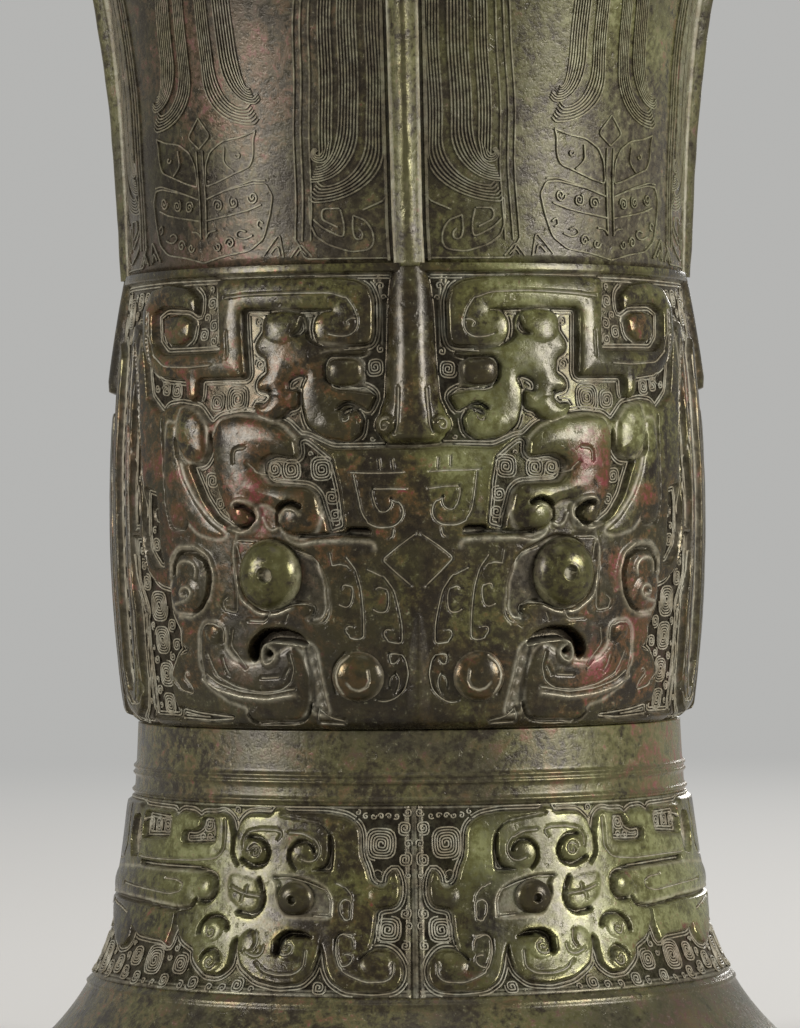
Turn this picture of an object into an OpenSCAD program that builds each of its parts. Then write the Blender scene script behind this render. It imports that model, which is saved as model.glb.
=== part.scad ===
// Bronze zun wine vessel: trumpet neck, masked belly and flaring ring foot, with ridges and studs.
// Millimetres, +Z up, origin at the middle of the foot's resting face, front mask towards -Y.

/* [Neck] */
// mouth diameter over the lip
mouth_d = 222; // [206:1:238]
// outside diameter at the foot of the neck
neck_d = 139; // [136:0.5:142]
// neck height above the belly
neck_h = 136; // [120:1:150]
// how fast the trumpet opens, per millimetre of height
neck_flare = 0.032; // [0.026:0.001:0.038]
// neck wall thickness
neck_wall = 3.5; // [3:0.1:4.5]
// height of the lap that enters the belly
lap_h = 6; // [4:0.5:9]

/* [Belly] */
// largest diameter of the belly's ground, under the relief
belly_d = 147; // [144:0.5:151]
// belly height between foot and neck
belly_h = 112; // [110:0.5:116]
// radius of the belly's bowed side
belly_bow_r = 370; // [330:5:420]
// belly wall thickness
belly_wall = 4.5; // [4:0.1:5.5]
// floor thickness
floor_t = 6; // [5:0.5:8]
// rounding of the belly's lower edge
belly_corner = 4; // [3:0.25:5]

/* [Foot] */
// diameter over the foot rim
foot_d = 202; // [192:1:212]
// outside diameter at the foot's waist
foot_waist_d = 135; // [132:0.5:137]
// foot height
foot_h = 94; // [90:1:98]
// height of the upright rim band
foot_rim_h = 8; // [6:0.5:10]
// length over which the flare dies away upwards
foot_flare = 24; // [21:0.5:27]
// foot wall thickness
foot_wall = 4.5; // [3.8:0.1:5.2]
// height of the ring that enters the floor
foot_lap_h = 3; // [2:0.25:3.5]
// radius of the raised ring lines
ring_r = 0.8; // [0.5:0.05:1.1]

/* [Ridges] */
// width of a neck flange at its base
flange_w = 8; // [6:0.25:10]
// height of a neck flange above the neck at its lower end
flange_low = 2; // [1.5:0.1:3]
// height of a neck flange at its upper end
flange_high = 6; // [4:0.25:8]
// plain margin between flange and lip
flange_margin = 9; // [6:0.5:14]
// width of a flange's crest
crest_w = 1.4; // [1:0.1:2.4]
// half width of the forehead ridge on the upper mask
ridge_half = 8; // [6.5:0.25:9]
// height of the forehead ridge at its overhanging end
ridge_high = 5.5; // [4:0.25:7]
// height of the side ridges
side_high = 3.4; // [2.4:0.2:4.4]
// height of the nose above the belly's ground
nose_high = 3.4; // [2.6:0.2:4.4]

/* [Studs] */
// diameter of the large mask's eyeballs
eye_d = 16; // [14:0.5:17]
// how far an eyeball stands out
eye_high = 6; // [4:0.25:7]
// pupil diameter
pupil_d = 3.2; // [2.4:0.1:4]
// diameter of the upper mask's eyes
small_eye_d = 8.6; // [7:0.2:9]
// diameter of the foot dragons' eyes
foot_eye_d = 8.4; // [7:0.2:9]
// diameter of the nostril bosses
nostril_d = 12.5; // [10:0.5:13]
// side of the square tenons that hold the studs
tenon_w = 4; // [3:0.25:5]
// depth of the tenon holes in the wall
tenon_l = 2.6; // [2:0.1:3]

/* [Relief] */
// height of the belly's raised bands
band_high = 1.8; // [1.2:0.1:2.4]
// height of the foot's raised bands
foot_band_high = 1.2; // [0.8:0.1:1.8]
// slope taken off each edge of a band
band_bevel = 0.5; // [0.3:0.05:0.7]

/* [Fit] */
// gap between a seated piece and its seat
seat_gap = 0.04; // [0.03:0.01:0.06]
// side of a square core spacer
spacer_w = 8; // [6:0.5:10]
// distance of the spacers from the axis
spacer_r = 38; // [30:1:44]

/* [Hidden] */
$fn = 120;
layout_r = 74;
layout_foot_h = 94;
lift = foot_h - layout_foot_h;
belly_top = foot_h + belly_h;
belly_mid = foot_h + 52;
total_h = belly_top + neck_h;
register_z = foot_h + 68;
neck_gain = (mouth_d - neck_d) / 2 / (exp(neck_flare * neck_h) - 1);
neck_steps = 22;
belly_steps = 6;
foot_steps = 18;
flange_steps = 28;
lap_wall = 2.2;
foot_lap_back = 1.9;
foot_thicken = 0.06;
neck_blend_h = 20;
peg_w = 3;
peg_l = 2;
peg_root = 1.2;
hole_spare = 0.2;
side_ridge_l = 29;
small_eye_high = 2.8;
nostril_high = 3.6;
pupil_deep = 1.6;
stud_gap = 0.12;
ring_sink = 0.3;
end_gap = 0.4;
crest_share = 0.8;
flank_share = 0.62;
nose_crest_w = 3;
nose_seats = 5;
tenon_root = 0.8;
upper_shift = 1.2;
lower_shift = 2.4;
foot_shift = 0.8;
ring_lines = [foot_h - 11, foot_h - 16.5, foot_h - 19, lift + 29, lift + 31.5];
bronze = [0.36, 0.36, 0.25];
worn = [0.47, 0.42, 0.28];
red = [0.46, 0.31, 0.24];

// outside radius of the neck at a height above the belly
function neck_r(h) = neck_d / 2 + neck_gain * (exp(neck_flare * h) - 1);
// steepness of the trumpet there
function neck_slope(h) = neck_gain * neck_flare * exp(neck_flare * h);
// inside radius of the neck, for an even wall
function neck_in(h) = neck_r(h) - neck_wall * sqrt(1 + pow(neck_slope(h), 2));
// radius of the belly's ground at a height
function belly_r(z) = belly_d / 2 - pow(z - belly_mid, 2) / (2 * belly_bow_r);
// inside radius of the belly
function belly_in(z) = belly_r(z) - belly_wall;
// outside radius of the foot at a height
function foot_r(z) = foot_waist_d / 2
    + (foot_d - foot_waist_d) / 2 * exp(-max(z - foot_rim_h, 0) / foot_flare);
// ground radius on belly and foot alike
function ground_r(z) = z < foot_h ? foot_r(z) : z < belly_top ? belly_r(z) : neck_r(z - belly_top);
// point on the wall: s along the layout drum, z up, out above the ground
function wall_pt(s, z, out) = let (a = s / layout_r * 180 / PI, r = ground_r(z) + out)
    [r * sin(a), -r * cos(a), z];
// smooth path through hand-set points, two steps to a span
function mid_pt(a, b, c, d) = (9 * (b + c) - a - d) / 16;
function smooth(p) = [for (i = [0 : len(p) - 2]) each
    [p[i], mid_pt(p[max(i - 1, 0)], p[i], p[i + 1], p[min(i + 2, len(p) - 1)])], p[len(p) - 1]];
// turn that moves a drawing along the belly towards the mask's middle
function turn_by(s) = [0, 0, -s / layout_r * 180 / PI];
function unit(v) = v / max(norm(v), 0.001);
// direction of a path at one of its points
function along(p, i) = unit(p[min(i + 1, len(p) - 1)] - p[max(i - 1, 0)]);
// a band narrows to a blunt end at both ends
function blunt(i, n) = min(1, 0.45 + 0.4 * min(i, n - i));

// closed skin over a stack of rings that all have the same number of points
module skin(rings) {
    n = len(rings[0]);
    m = len(rings);
    sides = [for (i = [0 : m - 2]) for (j = [0 : n - 1]) let (k = (j + 1) % n)
        each [[i * n + j, (i + 1) * n + j, (i + 1) * n + k], [i * n + j, (i + 1) * n + k, i * n + k]]];
    first = [for (j = [1 : n - 2]) [0, j, j + 1]];
    last = [for (j = [1 : n - 2]) [(m - 1) * n, (m - 1) * n + j + 1, (m - 1) * n + j]];
    polyhedron(points = [for (r = rings) each r], faces = concat(first, sides, last), convexity = 8);
}

// raised band along a path on the wall
module band(path, w, high) {
    p = smooth([for (k = path) [k[0], k[1] + lift]]);
    n = len(p) - 1;
    skin([for (i = [0 : n]) let (t = along(p, i), a = [-t[1], t[0]] * w / 2 * blunt(i, n),
        b = a * max(1 - 2 * band_bevel / w, 0.4)) [
        wall_pt(p[i][0] + a[0], p[i][1] + a[1], seat_gap),
        wall_pt(p[i][0] + b[0], p[i][1] + b[1], high),
        wall_pt(p[i][0] - b[0], p[i][1] - b[1], high),
        wall_pt(p[i][0] - a[0], p[i][1] - a[1], seat_gap)]]);
}

// ridge standing upright on the wall, from rows of height, half width and height above the ground
module ridge(rows, crest, seats) {
    skin([for (row = rows) let (z = row[0], w = row[1], out = row[2], c = min(crest, w * crest_share),
        flank = c / 2 + (w - c / 2) * 0.5) concat(
        [for (k = [-seats : seats]) wall_pt(w * k / seats, z, seat_gap)],
        [wall_pt(flank, z, out * flank_share), wall_pt(c / 2, z, out),
        wall_pt(-c / 2, z, out), wall_pt(-flank, z, out * flank_share)])]);
}

// stand a shape that points along +Z out from the wall at a spot
module out_from(s, z) {
    a = s / layout_r * 180 / PI;
    rotate([0, 0, a]) translate([0, -ground_r(z), z]) rotate([90, 0, 0]) children();
}

// square pin with its foot on the plane of its axes
module pin(w, h) {
    translate([-w / 2, -w / 2, 0]) cube([w, w, h]);
}

// peg across a seat, from inside the ridge into the wall
module peg(s, z, w, depth) {
    out_from(s, z) translate([0, 0, -depth]) pin(w, depth + peg_root);
}

// the quarter copies of the front right quarter
module right_front() { children(); }
module left_front() { mirror([1, 0, 0]) children(); }
module right_back() { mirror([0, 1, 0]) children(); }
module left_back() { mirror([1, 0, 0]) mirror([0, 1, 0]) children(); }
module every_quarter() {
    right_front() children();
    left_front() children();
    right_back() children();
    left_back() children();
}

// places of studs and pegs
upper_eye_at = [16.8, foot_h + 86];
mask_eye_at = [36.6, foot_h + 37.5];
nostril_at = [14.6, foot_h + 13];
foot_eye_at = [29.7, 54 + lift];
flange_pegs = [belly_top + 12, belly_top + 56, belly_top + 96];
ridge_pegs = [belly_top - 12, belly_top - 30];
side_pegs = [belly_top - 8, belly_top - 22];
nose_pegs = [foot_h + 56, foot_h + 14];

module neck_shape() {
    bore_low = belly_in(belly_top);
    outer = [for (i = [0 : neck_steps]) let (h = neck_h * i / neck_steps) [neck_r(h), belly_top + h]];
    inner = [for (i = [neck_steps : -1 : 0])
        let (h = neck_blend_h + (neck_h - neck_blend_h) * i / neck_steps)
        [neck_in(h), belly_top + h]];
    lap = [[bore_low, belly_top - lap_h], [belly_r(belly_top) - lap_wall - seat_gap, belly_top - lap_h],
        [belly_r(belly_top) - lap_wall - seat_gap, belly_top]];
    rotate_extrude() polygon(concat(lap, outer, inner));
}

module neck() {
    color(bronze) difference() {
        neck_shape();
        for (k = [0 : 3], z = flange_pegs)
            rotate([0, 0, 90 * k]) peg(0, z, peg_w + 2 * seat_gap, peg_l + hole_spare);
    }
}

module belly_shape() {
    lap_r = belly_r(belly_top) - lap_wall;
    edge_r = belly_r(foot_h + belly_corner);
    corner = [for (a = [-90 : 30 : 0]) [edge_r - belly_corner * (1 - cos(a)),
        foot_h + belly_corner * (1 + sin(a))]];
    side = [for (i = [1 : belly_steps]) let (z = foot_h + belly_corner
        + (belly_h - belly_corner) * i / belly_steps) [belly_r(z), z]];
    floor_z = foot_h + floor_t;
    bowl_r = 2 * belly_corner;
    inside = [for (i = [belly_steps : -1 : 0]) let (z = floor_z + bowl_r
        + (belly_h - lap_h - floor_t - bowl_r) * i / belly_steps) [belly_in(z), z]];
    bowl = [for (a = [-45 : -45 : -90]) [belly_in(floor_z + bowl_r) - bowl_r * (1 - cos(a)),
        floor_z + bowl_r * (1 + sin(a))]];
    rotate_extrude() polygon(concat([[0, foot_h]], corner, side,
        [[lap_r, belly_top], [lap_r, belly_top - lap_h - seat_gap]], inside, bowl, [[0, floor_z]]));
}

module foot_lap(gap) {
    low = foot_waist_d / 2 - foot_wall;
    rotate_extrude() translate([low - gap, foot_h - gap])
        square([foot_wall - foot_lap_back + 2 * gap, foot_lap_h + 2 * gap]);
}

module belly() {
    gap = seat_gap;
    color(bronze) difference() {
        belly_shape();
        foot_lap(gap);
        floor_plates(gap);
        every_quarter() {
            tenon_hole(upper_eye_at);
            tenon_hole(mask_eye_at);
            tenon_hole(nostril_at);
        }
        for (k = [0, 180]) rotate([0, 0, k]) {
            for (z = ridge_pegs) peg(0, z, peg_w + 2 * gap, peg_l + hole_spare);
            for (z = nose_pegs) peg(0, z, peg_w + 2 * gap, peg_l + hole_spare);
        }
        for (k = [90, 270]) rotate([0, 0, k])
            for (z = side_pegs) peg(0, z, peg_w + 2 * gap, peg_l + hole_spare);
    }
}

module foot_shape() {
    outer = [for (i = [0 : foot_steps]) let (z = foot_rim_h + (foot_h - foot_rim_h) * i / foot_steps)
        [foot_r(z), z]];
    inner = [for (i = [foot_steps : -1 : 0]) let (z = foot_rim_h + (foot_h - foot_rim_h) * i / foot_steps)
        [foot_r(z) - foot_wall - (foot_r(z) - foot_r(foot_h)) * foot_thicken, z]];
    rim_in = foot_d / 2 - foot_wall - (foot_d / 2 - foot_r(foot_h)) * foot_thicken;
    rotate_extrude() polygon(concat([[rim_in, 0], [foot_d / 2, 0]], outer, inner));
}

module ring_line(z) {
    rotate_extrude() translate([foot_r(z) - ring_r * ring_sink, z]) circle(r = ring_r);
}

module foot() {
    color(bronze) difference() {
        union() {
            foot_shape();
            foot_lap(0);
            for (z = ring_lines) ring_line(z);
        }
        every_quarter() tenon_hole(foot_eye_at);
    }
}

module neck_flange(turn) {
    low = belly_top + end_gap;
    high = total_h - flange_margin;
    rows = [for (i = [flange_steps : -1 : 0]) let (u = i / flange_steps, z = low + (high - low) * u)
        [z, flange_w / 2, flange_low + (flange_high - flange_low) * u]];
    color(worn) rotate([0, 0, turn]) union() {
        ridge(rows, crest_w, 1);
        for (z = flange_pegs) peg(0, z, peg_w, peg_l);
    }
}

module forehead_ridge(turn) {
    top = belly_top - end_gap;
    rows = [for (u = [0 : 0.1 : 0.8]) [top - (top - register_z) * u, ridge_half * (0.82 + 0.18 * u),
        flange_low + 1 + (ridge_high - flange_low - 1) * u]];
    tip = [[register_z + 4.4, ridge_half * 0.92, ridge_high],
        [register_z + 2.4, ridge_half * 0.72, ridge_high * 0.9],
        [register_z + 1.2, ridge_half * 0.45, ridge_high * 0.6]];
    color(worn) rotate([0, 0, turn]) union() {
        ridge(concat(rows, tip), ridge_half * 0.6, 2);
        for (z = ridge_pegs) peg(0, z, peg_w, peg_l);
    }
}

module side_ridge(turn) {
    top = belly_top - end_gap;
    rows = [for (u = [0 : 0.125 : 1])
        [top - side_ridge_l * u, flange_w / 2, flange_low + (side_high - flange_low) * u]];
    color(worn) rotate([0, 0, turn]) union() {
        ridge(rows, crest_w, 1);
        for (z = side_pegs) peg(0, z, peg_w, peg_l);
    }
}

// forehead shield, lozenge, bridge and tip of the large mask's nose
module nose(turn) {
    shape = [[66.5, 18.6, 0.6], [58, 18, 0.65], [49, 16.6, 0.7], [46.5, 11, 0.75], [41, 9.4, 0.8],
        [35, 5.8, 0.85], [28, 5, 0.9], [21, 5, 0.95], [18.5, 7, 1], [13, 7.4, 1], [8, 7, 1],
        [5.5, 5.6, 0.7]];
    rows = [for (k = shape) [foot_h + k[0], k[1], nose_high * k[2]]];
    color(worn) rotate([0, 0, turn]) union() {
        ridge(rows, nose_crest_w, nose_seats);
        for (z = nose_pegs) peg(0, z, peg_w, peg_l);
    }
}

module tenon_hole(at) {
    peg(at[0], at[1], tenon_w + 2 * seat_gap, tenon_l + hole_spare);
}

// round stud with a tenon and a drilled pupil
module stud(at, d, high, hole) {
    ball = (pow(d / 2, 2) + pow(high, 2)) / (2 * high);
    out_from(at[0], at[1]) difference() {
        union() {
            intersection() {
                translate([0, 0, high - ball]) sphere(r = ball);
                translate([0, 0, stud_gap]) cylinder(d = d, h = high);
            }
            translate([0, 0, -tenon_l]) pin(tenon_w, tenon_l + tenon_root);
        }
        if (hole > 0) translate([0, 0, high - pupil_deep]) cylinder(d = hole, h = 2 * pupil_deep);
    }
}

module upper_eye() { color(worn) stud(upper_eye_at, small_eye_d, small_eye_high, 0); }
module mask_eye() { color(worn) stud(mask_eye_at, eye_d, eye_high, pupil_d); }
module nostril() { color(worn) stud(nostril_at, nostril_d, nostril_high, 0); }
module foot_eye() { color(worn) stud(foot_eye_at, foot_eye_d, small_eye_high, pupil_d / 2); }

// horned band, jaw and ear of the upper mask
module upper_mask() {
    color(bronze) rotate(turn_by(upper_shift)) {
        band([[22, 188.6], [17.5, 188.4], [14, 192], [15.2, 197], [20, 199], [31, 199.2], [43, 199],
            [47.2, 197], [48.8, 193], [49, 188], [50.4, 184.4], [54.5, 182.4], [61, 182.2],
            [69, 182.6], [75.4, 185.8], [77.4, 191.5], [75.4, 197.4], [70, 200], [63, 200.2]],
            5.2, band_high);
        band([[60.8, 179], [60.8, 176.5], [60.6, 173.5]], 4.2, band_high);
        band([[26, 177.5], [26.6, 171.5], [24.4, 167], [20, 165.4], [16, 166.8], [14.8, 170.2]],
            3.4, band_high);
        band([[31.2, 183], [30.8, 177], [32.4, 172], [35.8, 169.8], [38.8, 171.8]], 3, band_high);
        band([[28.2, 187.8], [28.2, 191.2], [31.4, 193.4], [36, 193.4], [39.2, 190.8]], 2.6, band_high);
    }
}

// horn, ear, lids, jaw and body bands of the large mask
module lower_mask() {
    color(red) rotate(turn_by(lower_shift)) {
        band([[30.5, 162.5], [36, 167], [44.5, 169], [50.5, 167.2], [52.8, 162.5], [52, 156], [50.6, 150],
            [48, 145.4]], 5.4, band_high + 1.2);
        band([[45.6, 154], [40, 152], [33.4, 151.2], [29, 148.6], [28.8, 145]], 4.4, band_high + 0.8);
    }
    color(bronze) rotate(turn_by(lower_shift)) {
        band([[50, 141.6], [56, 145.4], [62, 151.6], [65.8, 158.5], [66, 164.5], [62.6, 168.4],
            [58.8, 166]],
            4.4, band_high);
        band([[66, 133], [64.4, 135.6], [61.2, 135.6], [58.8, 132.2], [58.4, 127.6], [60.8, 124.4],
            [65.6, 124]], 2.8, band_high);
        band([[83, 158.5], [82, 149.5], [80.4, 140], [77, 131.4], [71.5, 126.5]], 4, band_high);
        band([[74.4, 153], [74.4, 146], [73.8, 138]], 4, band_high);
        band([[90, 190], [90.2, 170], [90.4, 150], [90.6, 128], [90.6, 106], [94, 100.4], [99.6, 100.4],
            [103, 106], [103.2, 128], [103.2, 150], [103, 172]], 5, band_high);
        band([[56.4, 117], [58.2, 113], [57, 107.6], [52, 104], [44, 102.6], [37.4, 103], [33.4, 106],
            [32.6, 110.6]], 4.6, band_high);
        band([[31, 115.4], [36.6, 116], [41, 115], [42.6, 112.4]], 2.4, band_high);
        band([[28, 113], [25.8, 105], [21, 98.6]], 2.4, band_high);
        band([[66.8, 118], [65.6, 112.5], [66, 107], [64.6, 102.5]], 3.4, band_high);
        band([[32, 141], [27.4, 137.6], [24.8, 131], [24.6, 124.6]], 2.2, band_high);
        band([[31, 122], [39, 120.8], [46.2, 123.4], [49.6, 129]], 2.2, band_high);
        band([[19.4, 137], [17, 131], [15.8, 123.5], [16.4, 117.5]], 2.4, band_high);
    }
}

// trunked dragon in one quarter of the foot
module foot_dragon() {
    color(bronze) rotate(turn_by(foot_shift)) {
        band([[18.2, 72.4], [17.2, 61], [16.4, 50], [18, 41.5]], 5.4, foot_band_high);
        band([[12.2, 54], [8.6, 53.2], [6, 56.2], [7.2, 59.6]], 3, foot_band_high);
        band([[20, 37], [17, 34.6], [12, 34], [7.6, 35.6], [6, 39.4]], 3, foot_band_high);
        band([[22.6, 72], [26.4, 71.6], [30, 69.4], [31.2, 65.2]], 3.2, foot_band_high);
        band([[37, 72.2], [42.4, 71.8], [46.6, 68.8], [46.8, 64.4], [43, 62.4]], 3.2, foot_band_high);
        band([[52.6, 73], [52.4, 67], [55, 63], [62, 61.8], [75, 61.4], [88, 61.2]], 4, foot_band_high);
        band([[83, 70.8], [72, 71.2], [66.4, 70], [64, 67]], 3, foot_band_high);
        band([[59, 55.2], [73, 55], [90, 54.6], [104, 54.2]], 6.6, foot_band_high);
        band([[24.6, 44], [25.2, 38.6], [30, 35.4], [36, 35.4], [40.6, 38], [42.2, 42.6]],
            3.4, foot_band_high);
        band([[41, 55.4], [45, 55.2], [49, 54.8]], 5.6, foot_band_high);
        band([[57, 48.6], [53, 48.2], [51.6, 45.2], [53.4, 42.2], [53.4, 39], [50.6, 37]],
            2.4, foot_band_high);
        band([[69, 46.6], [76, 46.2], [84, 45.4]], 5.6, foot_band_high);
        band([[21.8, 56.4], [27, 59.4], [36, 60]], 2, foot_band_high);
    }
}

// square plates that held the casting core off the mould
module floor_plates(gap) {
    for (k = [45 : 90 : 315]) rotate([0, 0, k]) translate([spacer_r, 0, foot_h + floor_t / 2])
        cube([spacer_w + 2 * gap, spacer_w + 2 * gap, floor_t + 4 * gap], center = true);
}

module floor_spacers() {
    color(worn) intersection() {
        floor_plates(0);
        translate([0, 0, foot_h]) cylinder(r = spacer_r + spacer_w, h = floor_t);
    }
}

neck();
belly();
foot();
neck_flange(0);  // neck_flange_front
neck_flange(90);  // neck_flange_right
neck_flange(180);  // neck_flange_back
neck_flange(270);  // neck_flange_left
forehead_ridge(0);  // forehead_ridge_front
forehead_ridge(180);  // forehead_ridge_back
side_ridge(90);  // side_ridge_right
side_ridge(270);  // side_ridge_left
nose(0);  // nose_front
nose(180);  // nose_back
right_front() upper_eye();  // upper_eye_front_right
left_front() upper_eye();  // upper_eye_front_left
right_back() upper_eye();  // upper_eye_back_right
left_back() upper_eye();  // upper_eye_back_left
right_front() mask_eye();  // mask_eye_front_right
left_front() mask_eye();  // mask_eye_front_left
right_back() mask_eye();  // mask_eye_back_right
left_back() mask_eye();  // mask_eye_back_left
right_front() nostril();  // nostril_front_right
left_front() nostril();  // nostril_front_left
right_back() nostril();  // nostril_back_right
left_back() nostril();  // nostril_back_left
right_front() foot_eye();  // foot_eye_front_right
left_front() foot_eye();  // foot_eye_front_left
right_back() foot_eye();  // foot_eye_back_right
left_back() foot_eye();  // foot_eye_back_left
right_front() upper_mask();  // upper_mask_front_right
left_front() upper_mask();  // upper_mask_front_left
right_back() upper_mask();  // upper_mask_back_right
left_back() upper_mask();  // upper_mask_back_left
right_front() lower_mask();  // lower_mask_front_right
left_front() lower_mask();  // lower_mask_front_left
right_back() lower_mask();  // lower_mask_back_right
left_back() lower_mask();  // lower_mask_back_left
right_front() foot_dragon();  // foot_dragon_front_right
left_front() foot_dragon();  // foot_dragon_front_left
right_back() foot_dragon();  // foot_dragon_back_right
left_back() foot_dragon();  // foot_dragon_back_left
floor_spacers();
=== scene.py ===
import logging
import math
from collections.abc import Callable
from dataclasses import dataclass, field
from enum import Enum

import bpy
import numpy as np
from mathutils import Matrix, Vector


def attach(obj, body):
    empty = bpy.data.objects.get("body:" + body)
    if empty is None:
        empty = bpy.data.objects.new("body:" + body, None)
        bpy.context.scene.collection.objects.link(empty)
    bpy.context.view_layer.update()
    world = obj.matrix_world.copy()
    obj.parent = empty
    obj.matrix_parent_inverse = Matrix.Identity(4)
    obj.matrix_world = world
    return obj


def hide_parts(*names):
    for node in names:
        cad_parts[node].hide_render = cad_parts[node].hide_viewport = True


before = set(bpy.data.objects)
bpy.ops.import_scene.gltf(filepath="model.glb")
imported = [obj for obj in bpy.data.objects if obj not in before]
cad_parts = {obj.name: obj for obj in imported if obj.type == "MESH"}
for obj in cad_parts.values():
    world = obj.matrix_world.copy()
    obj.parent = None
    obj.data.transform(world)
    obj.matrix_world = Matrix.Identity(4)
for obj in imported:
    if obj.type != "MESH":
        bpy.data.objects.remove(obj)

LOG = logging.getLogger("zun")
Array = np.ndarray
Colour = tuple[float, float, float, float]
Faces = list[tuple[Array, bool]]
Radius = Callable[[Array], Array]
Socket = bpy.types.NodeSocket
Value = Socket | float | Colour

MM = 0.001
# Radius of the drum that all drawings are unrolled from, and the length of a quarter of it.
DRUM = 74.0
QUARTER = DRUM * math.pi / 2
FULL_TURN = 2 * math.pi
# Finish masks that every mesh carries on its points. The last of them paints shade on the low ground, in
# hollows and at the feet of threads, and darkens the neck's wall towards its left side and in patches.
MASKS = ("earth", "wear", "red", "green", "deep")
# Width of a thread's flat top over that of its foot, and how far the foot sinks into the wall.
TOP_SHARE = 0.5
THREAD_SINK = 0.12
# Steps of the turned walls round the axis.
TURNS = 256


class Quarter(Enum):
    """The four mirrored quarters of the vessel, as signs of X and -Y."""

    FRONT_RIGHT = (1, 1)
    FRONT_LEFT = (-1, 1)
    BACK_RIGHT = (1, -1)
    BACK_LEFT = (-1, -1)

    @property
    def label(self) -> str:
        """Name of the quarter as the CAD nodes write it."""
        return self.name.lower()

    @property
    def side(self) -> str:
        """Side of the vessel that it lies on."""
        return "right" if self.value[0] > 0 else "left"

    @property
    def end(self) -> str:
        """Face of the vessel that it lies on."""
        return "front" if self.value[1] > 0 else "back"

    @property
    def flips(self) -> bool:
        """Whether the mirror turns faces inside out."""
        return self.value[0] * self.value[1] < 0

    @property
    def seed(self) -> int:
        """Seed of the quarter's own casting flaws."""
        return 11 + list(Quarter).index(self) * 7

    def place(self, points: Array) -> Array:
        """Points of the front right quarter, mirrored into this one."""
        return points * np.array([self.value[0], self.value[1], 1.0])


def pts(text: str) -> Array:
    """Rows of numbers written as "1 2, 3 4", such as points in millimetres on the drum."""
    return np.array([[float(k) for k in p.split()] for p in text.split(",")])


def smoothstep(x: Array) -> Array:
    """Soft step of x, 0 below 0 and 1 above 1."""
    t = np.clip(x, 0.0, 1.0)
    return t * t * (3.0 - 2.0 * t)


def rounded(path: Array, closed: bool, step: float = 3.4, rounds: int = 3) -> Array:
    """Path with its corners cut: spans are split to the step, then each gives its quarter points.

    Args:
        path: points of the path.
        closed: whether the last point joins the first.
        step: longest span before the corners are cut.
        rounds: how often the corners are cut.

    Returns:
        The softened path.
    """
    ends = np.vstack([path, path[:1]]) if closed else path
    runs = [
        a + (b - a) * np.arange(n)[:, None] / n
        for a, b in zip(ends[:-1], ends[1:])
        for n in [max(1, math.ceil(float(np.hypot(*(b - a))) / step))]
    ]
    out = np.vstack(runs + ([] if closed else [path[-1:]]))
    for _ in range(rounds):
        nxt = np.roll(out, -1, 0) if closed else out[1:]
        cur = out if closed else out[:-1]
        cut = np.stack([cur * 0.75 + nxt * 0.25, cur * 0.25 + nxt * 0.75], 1).reshape(-1, 2)
        out = cut if closed else np.vstack([out[:1], cut, out[-1:]])
    return out


def span_distance(s: Array, z: Array, path: Array, closed: bool) -> Array:
    """Distance of points from a path, counted positive inside a closed one.

    Args:
        s: first coordinate of the points.
        z: second coordinate.
        path: points of the path.
        closed: whether the path is an outline.

    Returns:
        Distances, negative outside an outline and always positive from a line.
    """
    ends = np.roll(path, -1, 0) if closed else path[1:]
    best = np.full(s.shape, 1e9)
    inside = np.zeros(s.shape, bool)
    for (a, b), (c, d) in zip(path[: len(ends)], ends):
        u, v = c - a, d - b
        t = np.clip(((s - a) * u + (z - b) * v) / (u * u + v * v + 1e-12), 0.0, 1.0)
        best = np.minimum(best, (s - a - u * t) ** 2 + (z - b - v * t) ** 2)
        if closed and v != 0.0:
            inside ^= ((b > z) != (d > z)) & (s < u * (z - b) / v + a)
    away = np.sqrt(best)
    return np.where(inside, away, -away) if closed else away


def soft_noise(shape: tuple[int, int], cells: tuple[int, int], seed: int) -> Array:
    """Smooth random sheet from about -1 to 1: a coarse random grid spread by cubic B-splines.

    Args:
        shape: rows and columns of the sheet.
        cells: coarse cells along rows and columns.
        seed: seed of the random grid.

    Returns:
        The sheet.
    """
    grid = np.random.default_rng(seed).uniform(-1.0, 1.0, (cells[0] + 3, cells[1] + 3))

    def spread(n: int, c: int) -> Array:
        """Cubic spline weights of evenly spaced samples.

        Args:
            n: number of samples.
            c: number of cells.

        Returns:
            One row of weights a sample.
        """
        x = np.linspace(0.0, c, n)
        i = np.minimum(x.astype(int), c - 1)
        f = x - i
        before = 3 * f**3 - 6 * f**2 + 4
        after = -3 * f**3 + 3 * f**2 + 3 * f + 1
        w = np.stack([(1 - f) ** 3, before, after, f**3], 1) / 6
        m = np.zeros((n, c + 3))
        np.put_along_axis(m, i[:, None] + np.arange(4), w, 1)
        return m

    return spread(shape[0], cells[0]) @ grid @ spread(shape[1], cells[1]).T * 1.6


def blur(sheet: Array, reach: int) -> Array:
    """Mean of a sheet over a square of 2 reach + 1 samples, edges repeated.

    Args:
        sheet: values on a grid.
        reach: samples taken on each side.

    Returns:
        The softened sheet.
    """
    for axis in (0, 1):
        pad = [(reach + 1, reach) if k == axis else (0, 0) for k in (0, 1)]
        run = np.cumsum(np.pad(sheet, pad, mode="edge"), axis)
        n = sheet.shape[axis]
        take = np.arange(n)
        sheet = (run.take(take + 2 * reach + 1, axis) - run.take(take, axis)) / (2 * reach + 1)
    return sheet


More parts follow.
